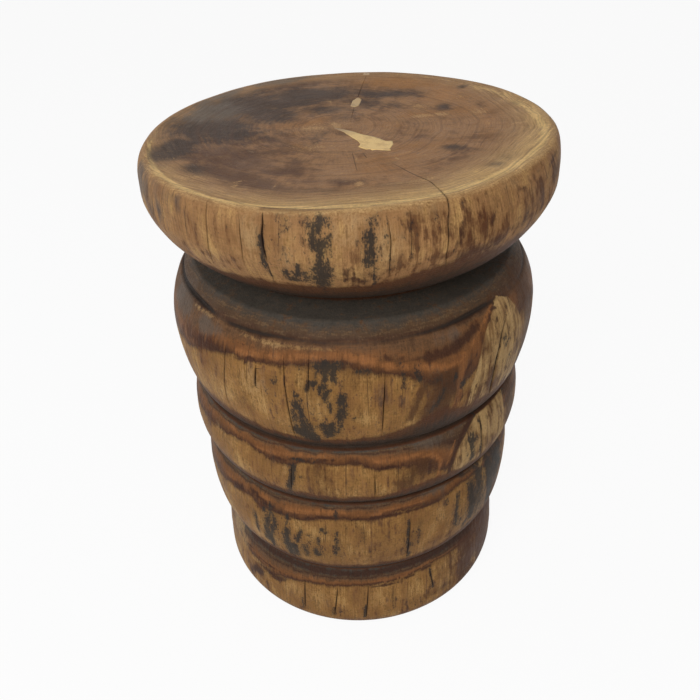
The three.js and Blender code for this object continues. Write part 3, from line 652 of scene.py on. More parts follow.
        (((26, 408), (38, 410)), 5, 0.8), (((64, 430), (70, 436)), 6, 0.7),
        (((40, 416), (56, 418)), 3, 0.5), (((26, 300), (25, 287), (22, 272)), 13, 1),
        (((18, 302), (16.5, 288), (15, 272)), 3.5, 0.8), (((64, 338), (66, 300), (62, 262)), 16, 0.9),
        (((46, 345), (50, 343), (54, 341)), 4, 0.8), (((20, 215), (16, 208), (14, 200)), 9, 0.85),
        (((64, 236), (64, 200)), 14, 0.9), (((60, 165), (60, 110)), 14, 1),
        (((17, 130), (16, 115)), 9, 0.5), (((47, 66), (47, 20)), 12, 0.9), (((60, 60), (60, 20)), 12, 1),
        (((62, 70), (60, 20)), 16, 1.1), (((26, 27), (38, 30)), 5, 0.6),
        (((-12, 222), (-10, 200)), 12, 0.5), (((-62, 440), (-60, 425)), 12, 0.5),
        (((3, 404), (-1, 404)), 9, 0.5),
    ),
}

# The pale lens-shaped figure at the right, where the cut runs through a swelling in the log:
# the bearings of its left and right edges at heights down the rings, and how far from its edge
# the way inside or outside is kept
LENS_LEFT = ((346, 48.5), (343, 46.5), (337, 43), (331, 40.3), (318, 37.4), (303, 35.5), (289, 34), (277, 33),
             (265, 32.1), (255, 33.5), (241, 42.8), (231, 37), (222, 33.4), (211, 31.3), (199, 30.5),
             (186, 33), (176, 43), (168, 47.4), (150, 49), (120, 50))
LENS_RIGHT = ((346, 48.5), (342, 52.6), (333, 55.6), (319, 58.1), (304, 58.9), (288, 59.3), (268, 59.5),
              (241, 60), (226, 58.6), (210, 59), (186, 58), (176, 54), (168, 50.4), (150, 50), (120, 50))
LENS_REACH = 30

# The seat: how far inboard of the crest the pale rim reaches, by bearing, and how pale it gets.
# The painted highlight along the rounded crest, by bearing, distance inboard and strength, with
# its width at the crest and how much wider it is for each millimetre inboard. Patches, by place
# right and back of the middle, half sizes along and across, turn, and strength.
RIM_WIDTH = ((-180, 11), (-160, 8), (-140, 13), (-120, 15), (-100, 10), (-88, 9), (-75, 12), (-62, 18),
             (-48, 21), (-35, 22), (-20, 26), (-5, 32), (8, 34), (20, 34), (30, 36), (40, 38), (50, 38),
             (62, 36), (75, 32), (90, 28), (105, 22), (120, 18), (135, 12), (150, 8), (165, 8))
RIM_TOP = ((-180, 4), (-100, 5), (-75, 8), (-55, 9), (-38, 11), (-22, 16), (-8, 26), (8, 34), (90, 34),
           (115, 16), (150, 4))
CREST_HIGHLIGHT = ((-180, 2, 0), (-110, 2, 0), (-90, 2, 0.3), (-75, 2, 0.9), (-50, 1.8, 1.2), (-30, 1.8, 1.2),
              (-16, 3, 0.9), (-6, 4, 0.9), (6, 4.5, 0.9), (18, 4.5, 1), (35, 5, 1), (55, 5, 1), (75, 4.5, 1),
              (90, 6, 0.8), (110, 8, 0.5), (125, 8, 0.5), (145, 5, 0.2), (165, 3, 0.1))
HIGHLIGHT_WIDTH, HIGHLIGHT_WIDENS = 0.7, 0.6
SEAT_PATCHES = {
    "charcoal": (
        (-112, 18, 40, 34, 0, 1), (-92, 78, 44, 30, 40, 1), (-36, 102, 46, 22, 6, 1),
        (-70, 52, 34, 26, 0, 0.9), (-20, 62, 26, 15, 0, 0.7), (-58, 84, 38, 18, 10, 1),
        (34, 98, 30, 10, -8, 0.9), (14, 76, 18, 16, 0, 0.7), (-4, 44, 18, 16, 60, 0.5),
        (82, 54, 6, 9, 0, 0.9), (62, 92, 9, 12, 30, 0.6), (104, 101, 7, 4, 30, 0.8),
        (80, -47, 9, 7, 0, 0.8), (105, -91, 8, 6, 0, 0.7), (116, -77, 10, 7, 40, 0.4),
        (-110, -76, 10, 14, 30, 0.7), (-24, -6, 8, 15, -20, 0.55), (-86, 10, 20, 18, 0, 0.5),
        (112, 50, 5, 9, 0, 0.5), (140, 47, 6, 6, 0, 0.4), (-134, -32, 15, 34, -14, 1),
        (40, 65, 8, 18, 0, 0.5), (36, 67, 14, 7, 0, 0.5),
    ),
    "purple": (
        (-72, -98, 50, 15, -40, 1), (-100, -40, 30, 26, 60, 0.8), (-24, -122, 26, 8, -10, 0.8),
        (-80, -58, 34, 24, -20, 0.8), (-60, -12, 30, 16, 0, 0.6), (-48, -76, 30, 16, -20, 0.6),
        (-90, -4, 26, 24, 0, 0.6), (-20, -102, 30, 9, -6, 0.6), (46, -118, 26, 7, 14, 0.5),
        (60, -20, 30, 24, 0, 0.35), (86, -70, 30, 16, 40, 0.4), (-44, 130, 40, 8, 16, 0.8),
    ),
    "orange": (
        (-58, 26, 22, 9, 20, 1), (-40, 48, 18, 6, 62, 0.9), (46, 126, 38, 16, -14, 0.9),
        (86, 84, 14, 28, 0, 1), (76, 112, 28, 12, -36, 0.8), (104, 42, 24, 14, 20, 0.7),
        (48, -36, 24, 9, 24, 0.8), (20, -64, 26, 8, 6, 0.6), (-44, -18, 18, 4, -52, 0.7),
        (-94, 48, 14, 8, -30, 0.9), (110, 10, 14, 30, 0, 0.5), (64, 38, 18, 12, 0, 0.6),
        (-76, -92, 40, 5, -38, 0.5), (-20, 84, 8, 10, 0, 0.5), (84, 76, 26, 16, -30, 0.8),
        (50, 40, 16, 10, 0, 0.7), (70, -8, 10, 22, 0, 0.6), (18, 20, 12, 10, 30, 0.5),
        (-34, 30, 24, 7, 30, 0.9), (30, -84, 40, 8, 8, 0.5), (36, -58, 30, 12, 10, 0.7),
        (20, -84, 24, 12, 0, 0.6), (70, -36, 22, 14, 20, 0.6), (34, 14, 14, 12, 0, 0.6),
    ),
    "pale": (
        (60, 35, 8, 4, 0, 0.9), (78, 36, 6, 5, 0, 0.8), (108, 36, 7, 9, 0, 0.6), (137, -2, 6, 3, 0, 1),
        (7, -111, 3, 4, 0, 0.9), (36, -63, 1.6, 5, 20, 0.8), (-16, 82, 3, 5, 20, 0.6),
        (-30, 16, 14, 7, 0, 0.7), (-10, 20, 4, 8, 20, 1), (-27, 27, 6, 6, 0, 0.5),
        (-75, -104, 1.4, 8, -8, 0.9), (-50, -111, 1.2, 9, -12, 0.8), (52, -112, 12, 5, 20, 0.6),
        (6, -60, 1.5, 12, 8, 0.5), (-20, -28, 22, 10, 0, 0.45), (60, 58, 6, 8, 0, 0.6),
        (136, 58, 10, 8, 40, 0.7), (120, 86, 16, 6, -50, 0.6), (98, 80, 8, 16, 0, 0.4),
        (-2, 30, 6, 10, 0, 0.4), (-112, -92, 24, 11, -40, 0.5), (-130, -66, 8, 18, 20, 0.4),
        (88, 66, 12, 6, -20, 0.4), (66, 60, 12, 6, 0, 0.35),
    ),
    # The green patches, at the seat's left and back, are greyer wood under painted sheen
    "green": (
        (-118, 58, 26, 20, 50, 0.9), (-116, 104, 30, 10, 46, 0.8), (-60, 142, 44, 7, 22, 0.8),
    ),
}

# Hairline checks that only show as dark lines: station and bearing points, and width
HAIRLINES = (
    (((532, 23.4), (521, 24.4), (503, 24.6), (480, 25.6), (470, 25)), 0.8),
    (((451, -50), (443, -49.5), (436, -49.8), (423, -50.5), (410, -51.2)), 0.7),
    (((450, -45.5), (443, -44.6)), 0.6), (((442, -54.5), (433, -55.6), (424, -56.2), (408, -60)), 0.6),
    (((448, -40.8), (444, -39.8), (433, -40.5), (418, -41)), 0.6),
    (((416, -18.6), (402, -18.8), (391, -19.4)), 0.6), (((449, -15.2), (420, -15.6)), 0.3),
    (((446, 13.4), (414, 13)), 0.5), (((440, 33), (416, 32.4)), 0.4),
    (((324, -12.5), (298, -12.9), (262, -12.8)), 0.6), (((336, -29.6), (300, -30.6)), 0.5),
    (((332, -25), (322, -25)), 0.4), (((330, 3), (280, 3.2)), 0.4), (((326, 12.6), (296, 12.2)), 0.4),
    (((342, 53.6), (327, 52.4)), 0.7), (((236, -3.6), (192, -4)), 0.6), (((232, -27), (198, -27.6)), 0.4),
    (((230, 12), (204, 12)), 0.4), (((236, 47), (190, 46.6)), 0.6), (((160, -11.4), (128, -11.8)), 0.5),
    (((158, 1), (118, 1.4)), 0.4), (((164, -22), (150, -22.4)), 0.4), (((60, 11.6), (28, 11.4)), 0.7),
    (((56, -31), (24, -31.6)), 0.4), (((60, 17.4), (30, 17.6)), 0.4), (((568, 3.6), (520, 4)), 0.5),
    (((562, 13), (545, 13)), 0.5), (((446, 70), (410, 69)), 0.6), (((330, -70), (280, -71)), 0.6),
    (((440, -96), (404, -95)), 0.7), (((320, 96), (262, 95)), 0.7), (((440, 120), (400, 121)), 0.7),
    (((310, 132), (262, 131)), 0.5), (((444, -140), (402, -139)), 0.7), (((330, -130), (264, -131)), 0.7),
    (((222, -100), (192, -100)), 0.6), (((150, -80), (104, -81)), 0.6), (((150, 88), (100, 87)), 0.7),
    (((222, 140), (192, 140)), 0.6), (((60, -110), (22, -110)), 0.7), (((60, 80), (24, 80)), 0.6),
    (((60, 150), (20, 150)), 0.7), (((150, 160), (100, 160)), 0.7), (((150, -150), (104, -150)), 0.5),
    (((220, -160), (192, -160)), 0.5), (((62, -150), (22, -150)), 0.6),
)

# The pith's place right and back of the middle of the seat, where the growth rings centre, and
# the small move of every piece that puts the stool's box over the middle
PITH = (-11.0, 14.0)
CENTRING = (-0.134, 0, 0)

# The fills: how far they stand proud of the seat, how deep a pocket the log has for them, and how
# many columns and points make their sections and their sides. The pith fill is a long chip that
# widens from its tail to a broken edge. Its left and right sides are shares of its width, from the
# tip of the tail, and of its length. The check fill's are shares of its width and length too.
FILL_RISE = 0.15
POCKET_DEPTH = 3
FILL_COLUMNS = 15
PITH_FILL_POINTS, SMALL_FILL_POINTS = 40, 24
PITH_TIP = (-12.6, 14.7)
PITH_WIDTH, PITH_LENGTH, PITH_DEPTH = 48, 60.6, 10
PITH_LEFT = ((0, 0), (0.21, 0.23), (0.32, 0.42), (0.42, 0.57), (0.46, 0.7), (0.42, 0.79), (0.52, 0.87),
             (0.67, 0.92), (0.97, 1))
PITH_RIGHT = ((0, 0), (0.2, 0.1), (0.34, 0.2), (0.5, 0.33), (0.68, 0.43), (0.8, 0.52), (0.88, 0.62),
              (0.99, 0.62), (1, 0.74), (0.92, 0.92), (0.97, 1))
CHECK_FILL_RADIUS, CHECK_FILL_BEARING = 80, 174.5
CHECK_FILL_TURN = (CHECK_FILL_BEARING - 180) * DEGREES
CHECK_FILL_WIDTH, CHECK_FILL_LENGTH, CHECK_FILL_DEPTH = 8.6, 25, 7
CHECK_LEFT = ((0, -0.5), (-0.5, -0.4), (-0.4, 0.16), (0.07, 0.5))
CHECK_RIGHT = ((0, -0.5), (0.33, -0.32), (0.5, 0.28), (0.07, 0.5))
RIM_FILL_BEARING, RIM_FILL_WIDTH, RIM_FILL_DEPTH = 173, 6.2, 6
RIM_FILL_STATIONS = (457, 436.5)
RIM_FILL_TAPER = 0.2

# The pockets' sloping walls: how far inside the pith fill's edge each starts and ends, the share
# of its length where its pocket stops, and how far from the check fill's middle, across and along
PITH_POCKET_WALL, PITH_POCKET_END = (1.2, 4), 0.93
CHECK_POCKET_ACROSS, CHECK_POCKET_ALONG = (1.5, 3), (6, 9)


def worn(bearing, station):
    """How far the surface lies inside its plain form, from hand tools and use: an even wear and
    the tools' waves, which die out at the foot and at the middle of the seat."""
    side = np.clip(station, 0, None)
    soft = sum(waves(kind, bearing, side) for kind in TOOL_MARKS)
    kept = smooth(*WEAR_GROWS, side) * (1 - smooth(*WEAR_DIES, station))
    return np.maximum(WEAR + soft, LEAST_WEAR) * kept


def cut_line(bearing, station):
    """The depth of the line round the second ring's shoulder: a V across its own height."""
    away = np.abs(station - round_the_log(LINE_HEIGHT, bearing))
    return round_the_log(LINE_DEPTH, bearing) * np.clip(1 - away / LINE_HALF_WIDTH, 0, 1)


def facing(rows):
    """How far each row of the outline faces out and up: its slope turned by a quarter, over the
    slope's length."""
    slope = np.gradient(rows[:, :2], axis=0)
    run = np.hypot(*slope.T)
    return slope[:, 1] / run, -slope[:, 0] / run


def log_places(rows, bearing):
    radius, height, station = (rows[:, i][:, None] for i in range(3))
    out, up = facing(rows)
    side = np.clip(station, 0, None)
    sunk = worn(bearing, station)
    for across, half, depth, width in check_distances(EVERY_CHECK, bearing, station, radius):
        cut = np.clip(1 - np.abs(across) / np.maximum(half, CUT_FROM), 0, 1)
        sunk = sunk + depth * half / (width / 2) * cut * (half > CUT_FROM)
    sunk = sunk + cut_line(bearing, station)
    kept = smooth(*WANDER_GROWS, side) * (1 - smooth(*WANDER_DIES, side))
    wander = waves(WANDER, bearing, side) * kept
    return radius - out[:, None] * sunk, height - up[:, None] * sunk + wander


def near_checks(checks, bearing, station, radius):
    """The signed distance of every point from its nearest check, and that check's half width,
    which fades to 0 where no check is near."""
    nearest = np.full(bearing.shape, FAR_AWAY)
    half_there = np.zeros(bearing.shape)
    for across, half, _, _ in check_distances(checks, bearing, station, radius):
        closer = (np.abs(across) < np.abs(nearest)) & (half > COLOUR_FROM)
        nearest = np.where(closer, across, nearest)
        half_there = np.where(closer, half * (1 - smooth(*CHECK_FADE, np.abs(across))), half_there)
    return np.clip(nearest, -CHECK_REACH, CHECK_REACH), half_there


def dabbed(dabs, bearing, station, radius):
    """How strongly the dabs cover every point: each is a soft oval, and the strongest counts."""
    total = np.zeros(bearing.shape)
    for at, height, half_width, half_height, strength in dabs:
        across = turned_from(bearing, at) * DEGREES * radius
        far = (across / half_width) ** 2 + ((station - height) / half_height) ** 2
        total = np.maximum(total, strength * np.exp(-FALL_OFF * far))
    return total * (station < CREST[1] + 1)


def stroked(strokes, bearing, station, radius):
    """How strongly the strokes cover every point: each is a run of straight lines with soft
    edges, a half width in millimetres and a strength, and the strongest counts."""
    total = np.zeros(bearing.shape)
    for points, half_width, strength in strokes:
        for start, end in zip(points, points[1:]):
            x = turned_from(bearing, start[0]) * DEGREES * radius
            y = station - start[1]
            run, rise = (end[0] - start[0]) * DEGREES * radius, end[1] - start[1]
            share = np.clip((x * run + y * rise) / (run * run + rise * rise), 0, 1)
            far = np.hypot(x - share * run, y - share * rise) / half_width
            total = np.maximum(total, strength * np.exp(-FALL_OFF * far * far))
    return total


def patched(patches, x, y):
    """How strongly the seat's patches cover every point: soft ovals, turned, and the strongest
    counts. Places are millimetres right and back of the middle."""
    total = np.zeros(x.shape)
    for right, back, long, short, turn, strength in patches:
        cos, sin = math.cos(turn * DEGREES), math.sin(turn * DEGREES)
        along = (x - right) * cos + (y - back) * sin
        across = (y - back) * cos - (x - right) * sin
        far = (along / long) ** 2 + (across / short) ** 2
        total = np.maximum(total, strength * np.exp(-FALL_OFF * far))
    return total


def stepped(curves, station):
    """For each pair of curves, from the top down: 0 above the upper one, 1 below the lower one and
    an even slope between. A curve lies at least the least step under the one above it."""
    heights = [curves[0]]
    for curve in curves[1:]:
        heights.append(np.minimum(curve, heights[-1] - LEAST_STEP))
    return [np.clip((upper - station) / (upper - lower), 0, 1) for upper, lower in zip(heights, heights[1:])]


def ring_spans():
    """For each ring by name, the stations of its lower and upper ends."""
    grooves = [FOURTH_GROOVE[1], THIRD_GROOVE[1], SECOND_GROOVE[1], NECK[1]]
    ends = [-FOOT[0] - 1, *grooves, CREST[1] + CREST[0] + 1]
    return dict(zip(("base", "fourth", "third", "second", "seat"), zip(ends, ends[1:])))


def tones(bearing, station):
    """The tone of the wood at every point, by the bands of its ring, and how far it has turned
    under: 0 on a ring's face, 1 on its reddish lower edge and 2 in the groove. The lower edge and
    the groove carry painted shade."""
    tone = np.zeros(bearing.shape)
    under = np.zeros(bearing.shape)
    wavering = station + waves(BAND_WAVES, bearing, station)
    for ring, (low, high) in ring_spans().items():
        inside = (station > low) & (station <= high)
        here = np.broadcast_to(inside, bearing.shape)
        around, at = bearing[here], np.broadcast_to(wavering, bearing.shape)[here]
        names = [name for name, _ in BANDS[ring]]
        steps = stepped([round_the_log(points, around) for _, points in BANDS[ring]], at)
        value = np.full(around.shape, float(names[0]))
        for step, before, after in zip(steps, names, names[1:]):
            value += step * (after - before)
        tone[here] = value
        turned = stepped([round_the_log(points, around) for points in UNDERSIDES[ring]], at)
        exact = np.broadcast_to(station, bearing.shape)[here]
        below_groove = 0 if ring == "seat" else 2 * (1 - smooth(*GROOVE_SHADE, high - exact))
        under[here] = np.maximum(sum(turned), below_groove)
    return tone, under


def painted_crest_highlight(bearing, inboard):
    """A painted highlight along the rounded crest, over the pale rim: a bell curve over the
    distance inboard, which is wider where the band lies further in."""
    middle = round_the_log([(at, place) for at, place, _ in CREST_HIGHLIGHT], bearing)
    strength = round_the_log([(at, share) for at, _, share in CREST_HIGHLIGHT], bearing)
    return strength * np.exp(-(((inboard - middle) / (HIGHLIGHT_WIDTH + HIGHLIGHT_WIDENS * middle)) ** 2))


def inside_lens(bearing, station, radius):
    """Millimetres inside the lens-shaped figure, less than 0 outside it: the least of the ways to
    its left and right edges and its two tips."""
    left = joined(LENS_LEFT[::-1], station)
    right = joined(LENS_RIGHT[::-1], station)
    inside = np.minimum(bearing - left, right - bearing) * DEGREES * radius
    ends = np.minimum(LENS_LEFT[0][0] - station, station - LENS_LEFT[-1][0])
    return np.clip(np.minimum(inside, ends), -LENS_REACH, LENS_REACH)


def strip_points(points, count):
    """Even points along a run of straight lines, by their share of its length."""
    points = np.array(points, float)
    length = np.concatenate([[0], np.cumsum(np.hypot(*np.diff(points, axis=0).T))])
    at = np.linspace(0, length[-1], count)
    return np.stack([np.interp(at, length, part) for part in points.T], 1)


def make_mesh(name, places, attributes, material):
    """A mesh from a grid of places in millimetres, row by row. Its first and last rows each draw
    in to one point, and its columns close on themselves. Faces point out."""
    rows, columns = places.shape[:2]
    corner = np.arange(rows * columns).reshape(rows, columns)
    a, b = corner[:-1], corner[1:]
    c, d = np.roll(b, -1, 1), np.roll(a, -1, 1)
    quads = np.stack([a, d, c, b], -1).reshape(-1, 4)
    first, last = rows * columns, rows * columns + 1
    ends = places[[0, -1]].mean(1)
    vertices = np.concatenate([places.reshape(-1, 3), ends]) * MM
    bottom = np.stack([np.full(columns, first), np.roll(corner[0], -1), corner[0]], 1)
    top = np.stack([np.full(columns, last), corner[-1], np.roll(corner[-1], -1)], 1)
    loops = np.concatenate([quads.ravel(), bottom.ravel(), top.ravel()])
    sizes = np.concatenate([np.full(len(quads), 4), np.full(2 * columns, 3)])
    mesh = bpy.data.meshes.new(name)
    mesh.vertices.add(len(vertices))
    mesh.vertices.foreach_set("co", vertices.ravel())
    mesh.loops.add(len(loops))
    mesh.loops.foreach_set("vertex_index", loops)
    mesh.polygons.add(len(sizes))
    mesh.polygons.foreach_set("loop_start", np.concatenate([[0], np.cumsum(sizes)[:-1]]))
    mesh.polygons.foreach_set("loop_total", sizes)
    mesh.update(calc_edges=True)
    mesh.validate()
    mesh.shade_smooth()
    for key, values in attributes.items():
        layer = mesh.attributes.new(key, "FLOAT", "POINT")
        values = np.broadcast_to(values, (rows, columns))
        layer.data.foreach_set("value", np.concatenate([values.ravel(), values[[0, -1]].mean(1)]))
    piece = bpy.data.objects.new(name, mesh)
    bpy.context.scene.collection.objects.link(piece)
    mesh.materials.append(material)
    return piece


def fill_places(left, right, top, depth):
    """The grid of a fill between two sides, each a run of places: every row is a section, over
    the top from left to right, down to an edge at half the depth, back along the bottom, which
    lies inward by the depth, and up again. The top turns two values across the seat, or round the
    log and along it, into places and the way in."""
    across = np.linspace(0, 1, FILL_COLUMNS)[None, :, None]
    spread = left[:, None] * (1 - across) + right[:, None] * across
    places, inward = top(spread[..., 0], spread[..., 1])
    edge = places[:, [0, -1]] + 0.5 * depth * inward[:, [0, -1]]
    bottom = places + depth * inward
    return np.concatenate([places, edge[:, 1:], bottom[:, ::-1], edge[:, :1]], 1)


def on_seat(x, y):
    """Places on the seat, just proud of it, at places right and back of the middle, and the way
    in, which is straight down."""
    radius = np.hypot(x, y)
    bearing = np.arctan2(x, -y) / DEGREES
    height = dish_height(radius) - worn(bearing, CREST[1] + CREST[0] - radius) + FILL_RISE
    return by_hand(radius, height, bearing), np.broadcast_to([0.0, 0.0, -1.0], (*x.shape, 3))


def over_crest(bearing, station):
    """Places on the crest, just proud of it, at bearings and stations, and the way in, which is
    square to the outline."""
    rows = log_outline()
    run = np.arange(len(rows))
    at = np.interp(station, rows[:, 2], run)
    radius, height, out, up = (np.interp(at, run, part) for part in (*rows[:, :2].T, *facing(rows)))
    rise = FILL_RISE - worn(bearing, station)
    angle = bearing * DEGREES
    inward = -np.stack([out * np.sin(angle), -out * np.cos(angle), up], -1)
    return by_hand(radius + out * rise, height + up * rise, bearing), inward


def build_pith_fill(material):
    """The chip beside the pith: its sides' shares times its size, from the tip forwards."""
    size = np.array([PITH_WIDTH, -PITH_LENGTH])
    left, right = (strip_points(side, PITH_FILL_POINTS) * size + PITH_TIP
                   for side in (PITH_LEFT, PITH_RIGHT))
    grid = fill_places(right[1:-1], left[1:-1], on_seat, PITH_DEPTH)
    return make_mesh("pith_fill_chip", grid + CENTRING, {}, material)


def build_check_fill(material):
    """The leaf in the back check: its sides' shares times its size, behind the middle by its
    radius and turned about the middle to its bearing."""
    cos, sin = math.cos(CHECK_FILL_TURN), math.sin(CHECK_FILL_TURN)
    size = (CHECK_FILL_WIDTH, CHECK_FILL_LENGTH)
    sides = []
    for side in (CHECK_LEFT, CHECK_RIGHT):
        x, y = (strip_points(side, SMALL_FILL_POINTS) * size + (0, CHECK_FILL_RADIUS)).T
        sides.append(np.stack([x * cos - y * sin, x * sin + y * cos], 1)[1:-1])
    grid = fill_places(*sides, on_seat, CHECK_FILL_DEPTH)
    return make_mesh("check_fill_leaf", grid + CENTRING, {}, material)


def build_rim_fill(material):
    """The strip over the crest: straight along the log, half its width either side of its bearing,
    and a little narrower at its foot."""
    station = np.linspace(*RIM_FILL_STATIONS, SMALL_FILL_POINTS)
    narrowing = 1 - RIM_FILL_TAPER * np.linspace(0, 1, SMALL_FILL_POINTS)
    half = RIM_FILL_WIDTH / 2 / CREST[0] / DEGREES * narrowing
    left = np.stack([RIM_FILL_BEARING + half, station], 1)
    right = np.stack([RIM_FILL_BEARING - half, station], 1)
    grid = fill_places(left, right, over_crest, RIM_FILL_DEPTH)
    return make_mesh("rim_fill_strip", grid + CENTRING, {}, material)


def in_pockets(x, y):
    """How deep every point of the seat lies in the pith fill's or the check fill's pocket, as a
    share of the pocket's depth: smooth steps up from each pocket's edges."""
    far = (x - PITH_TIP[0]) / PITH_WIDTH, (PITH_TIP[1] - y) / PITH_LENGTH
    left, right = (np.interp(far[1], *np.array(side)[:, ::-1].T)
                   for side in (PITH_LEFT, PITH_RIGHT[:-1]))
    inside = np.minimum(far[0] - left, right - far[0]) * PITH_WIDTH
    ends = np.minimum(far[1], PITH_POCKET_END - far[1]) * PITH_LENGTH
    pith = smooth(*PITH_POCKET_WALL, np.minimum(inside, ends))
    cos, sin = math.cos(CHECK_FILL_TURN), math.sin(CHECK_FILL_TURN)
    across, along = np.abs(x * cos + y * sin), np.abs(y * cos - x * sin - CHECK_FILL_RADIUS)
    leaf = (1 - smooth(*CHECK_POCKET_ACROSS, across)) * (1 - smooth(*CHECK_POCKET_ALONG, along))
    return np.maximum(pith, leaf)


def build_log(material):
    """The log: rows along its outline and columns round it, with the places that the formulas
    above give and a layer of values for each thing that colours the wood."""
    rows = log_outline()[1:-1]
    bearing = grid_bearings(rows[:, 2], rows[:, 0])
    radius, station = (np.broadcast_to(rows[:, [i]], bearing.shape) for i in (0, 2))
    x, y = radius * np.sin(bearing * DEGREES), -radius * np.cos(bearing * DEGREES)
    on_top = station > CREST[1]
    worn_radius, worn_height = log_places(rows, bearing)
    worn_height = worn_height - POCKET_DEPTH * in_pockets(x, y) * on_top
    grid = by_hand(worn_radius, worn_height, bearing) + CENTRING
    where = bearing, station, radius
    tone, under = tones(bearing, station)
    check_side, check_half = near_checks(EVERY_CHECK, *where)
    hair_side, hair_half = near_checks([(path, width, 0) for path, width in HAIRLINES], *where)
    inboard = station - CREST[1]
    inside_rim = round_the_log(RIM_WIDTH, bearing) - inboard
    layers = {
        "tone": tone,
        "under": under,
        "line": cut_line(bearing, station),
        "check_side": check_side,
        "check_half": check_half,
        "hair_side": hair_side,
        "hair_half": hair_half,
        "lens": inside_lens(*where),
        "station": station,
        "level": np.abs(facing(rows)[1])[:, None],
        "inboard": np.clip(inboard, *INBOARD_KEPT),
        "rim": np.clip(inside_rim, RIM_LEAST, round_the_log(RIM_TOP, bearing)),
        "glow": painted_crest_highlight(bearing, inboard),
    }
    layers |= {key: dabbed(dabs, *where) for key, dabs in DABS.items()}
    layers |= {key: stroked(strokes, *where) for key, strokes in STROKES.items()}
    layers |= {key: patched(patches, x, y) * on_top for key, patches in SEAT_PATCHES.items()}
    return make_mesh("ringed_log_wood", grid, layers, material)


def linear(red, green, blue):
    """A colour from 0 to 255 as shown on a screen, as the light it stands for: straight near
    black, and a power above it."""
    parts = np.array([red, green, blue]) / 255
    low, high = parts / 12.92, ((parts + 0.055) / 1.055) ** 2.4
    return (*np.where(parts <= 0.04045, low, high).tolist(), 1.0)


def wood_tones(**tones):
    """Named colours, each written as a screen shows it."""
    return {name: linear(*tone) for name, tone in tones.items()}


# The bands' tones, in the order of their names above, from charcoal to sapwood
BAND_TONES = tuple(wood_tones(
    charcoal=(70, 64, 57), brown=(82, 61, 43), purple=(66, 45, 33), shoulder=(96, 69, 47),
    orange=(116, 76, 44), edge=(68, 44, 31), pale=(142, 104, 58), sapwood=(151, 113, 74),
).values())

# Some of the sides' tones carry painted light: lower_edge is reddish wood with painted shade, groove is dark
# wood with painted shade, cut_line is painted shade in the cut line, the grey is partly painted sheen, light
# partly painted highlight, and the umber and red partly painted shade on the right.
SIDE_TONES = wood_tones(
    clouded=(106, 70, 42), bright=(184, 146, 92), torn=(104, 82, 58), umber=(74, 48, 29),
    lens=(182, 149, 100), lens_cloud=(118, 87, 54), lens_vein=(80, 58, 38), amber=(146, 96, 56),
    cream=(166, 130, 82), light=(178, 146, 102), red=(70, 38, 22), grey=(88, 77, 67),
    lower_edge=(78, 47, 29), groove=(54, 43, 35), rust=(58, 36, 26), fibre=(76, 48, 34),
    black=(44, 40, 36), cut_line=(36, 31, 28),
)
# The seat's tones are greyed and pinked a little by painted sheen
SEAT_TONES = wood_tones(
    plain=(158, 119, 83), dark=(104, 76, 57), orange=(166, 119, 74), purple=(87, 63, 50),
    # crest is the painted highlight along the rounded crest
    sapwood=(166, 130, 92), rim=(194, 158, 108), crest=(224, 188, 128), edge=(84, 56, 42),
    # green is greyer wood under painted sheen
    charcoal=(64, 54, 49), green=(114, 103, 92), pale=(188, 150, 104), ring=(74, 51, 38),
)
# check is painted shade inside the open checks
CHECK_TONES = wood_tones(stain=(60, 42, 32), check=(28, 21, 17), hairline=(46, 31, 24))

# The noise's values are stretched to this far either side of 0. A value used as a height is
# looked up this far off the axis. Noise along the fibres is laid on a cylinder of this radius,
# and the turning marks' on a much thinner one, which draws them out round the log.
NOISE_SPREAD = 1.7
OFF_AXIS = (1.3, 0.9)
FIBRE_RADIUS, TURNING_RADIUS = 150.0, 16.0

# Oiled wood shines this little, and a fill is as rough as this
WOOD_SHINE = 0.08
FILL_ROUGHNESS = 0.5

# The pith fill browns towards its tail and the check fill a little towards its back end: the
# brown's tone, the way that it is measured along, how far along that it is full for each fill,
# and over how many millimetres it fades. The rim fill lies clear of its own.
TAIL_BROWN = linear(126, 96, 74)
ALONG_CHIP = (0.62, -0.78, 0.0)
PITH_BROWN, CHECK_BROWN, RIM_BROWN = -19.0, -99.0, -199.0
BROWN_FADE = 32.0


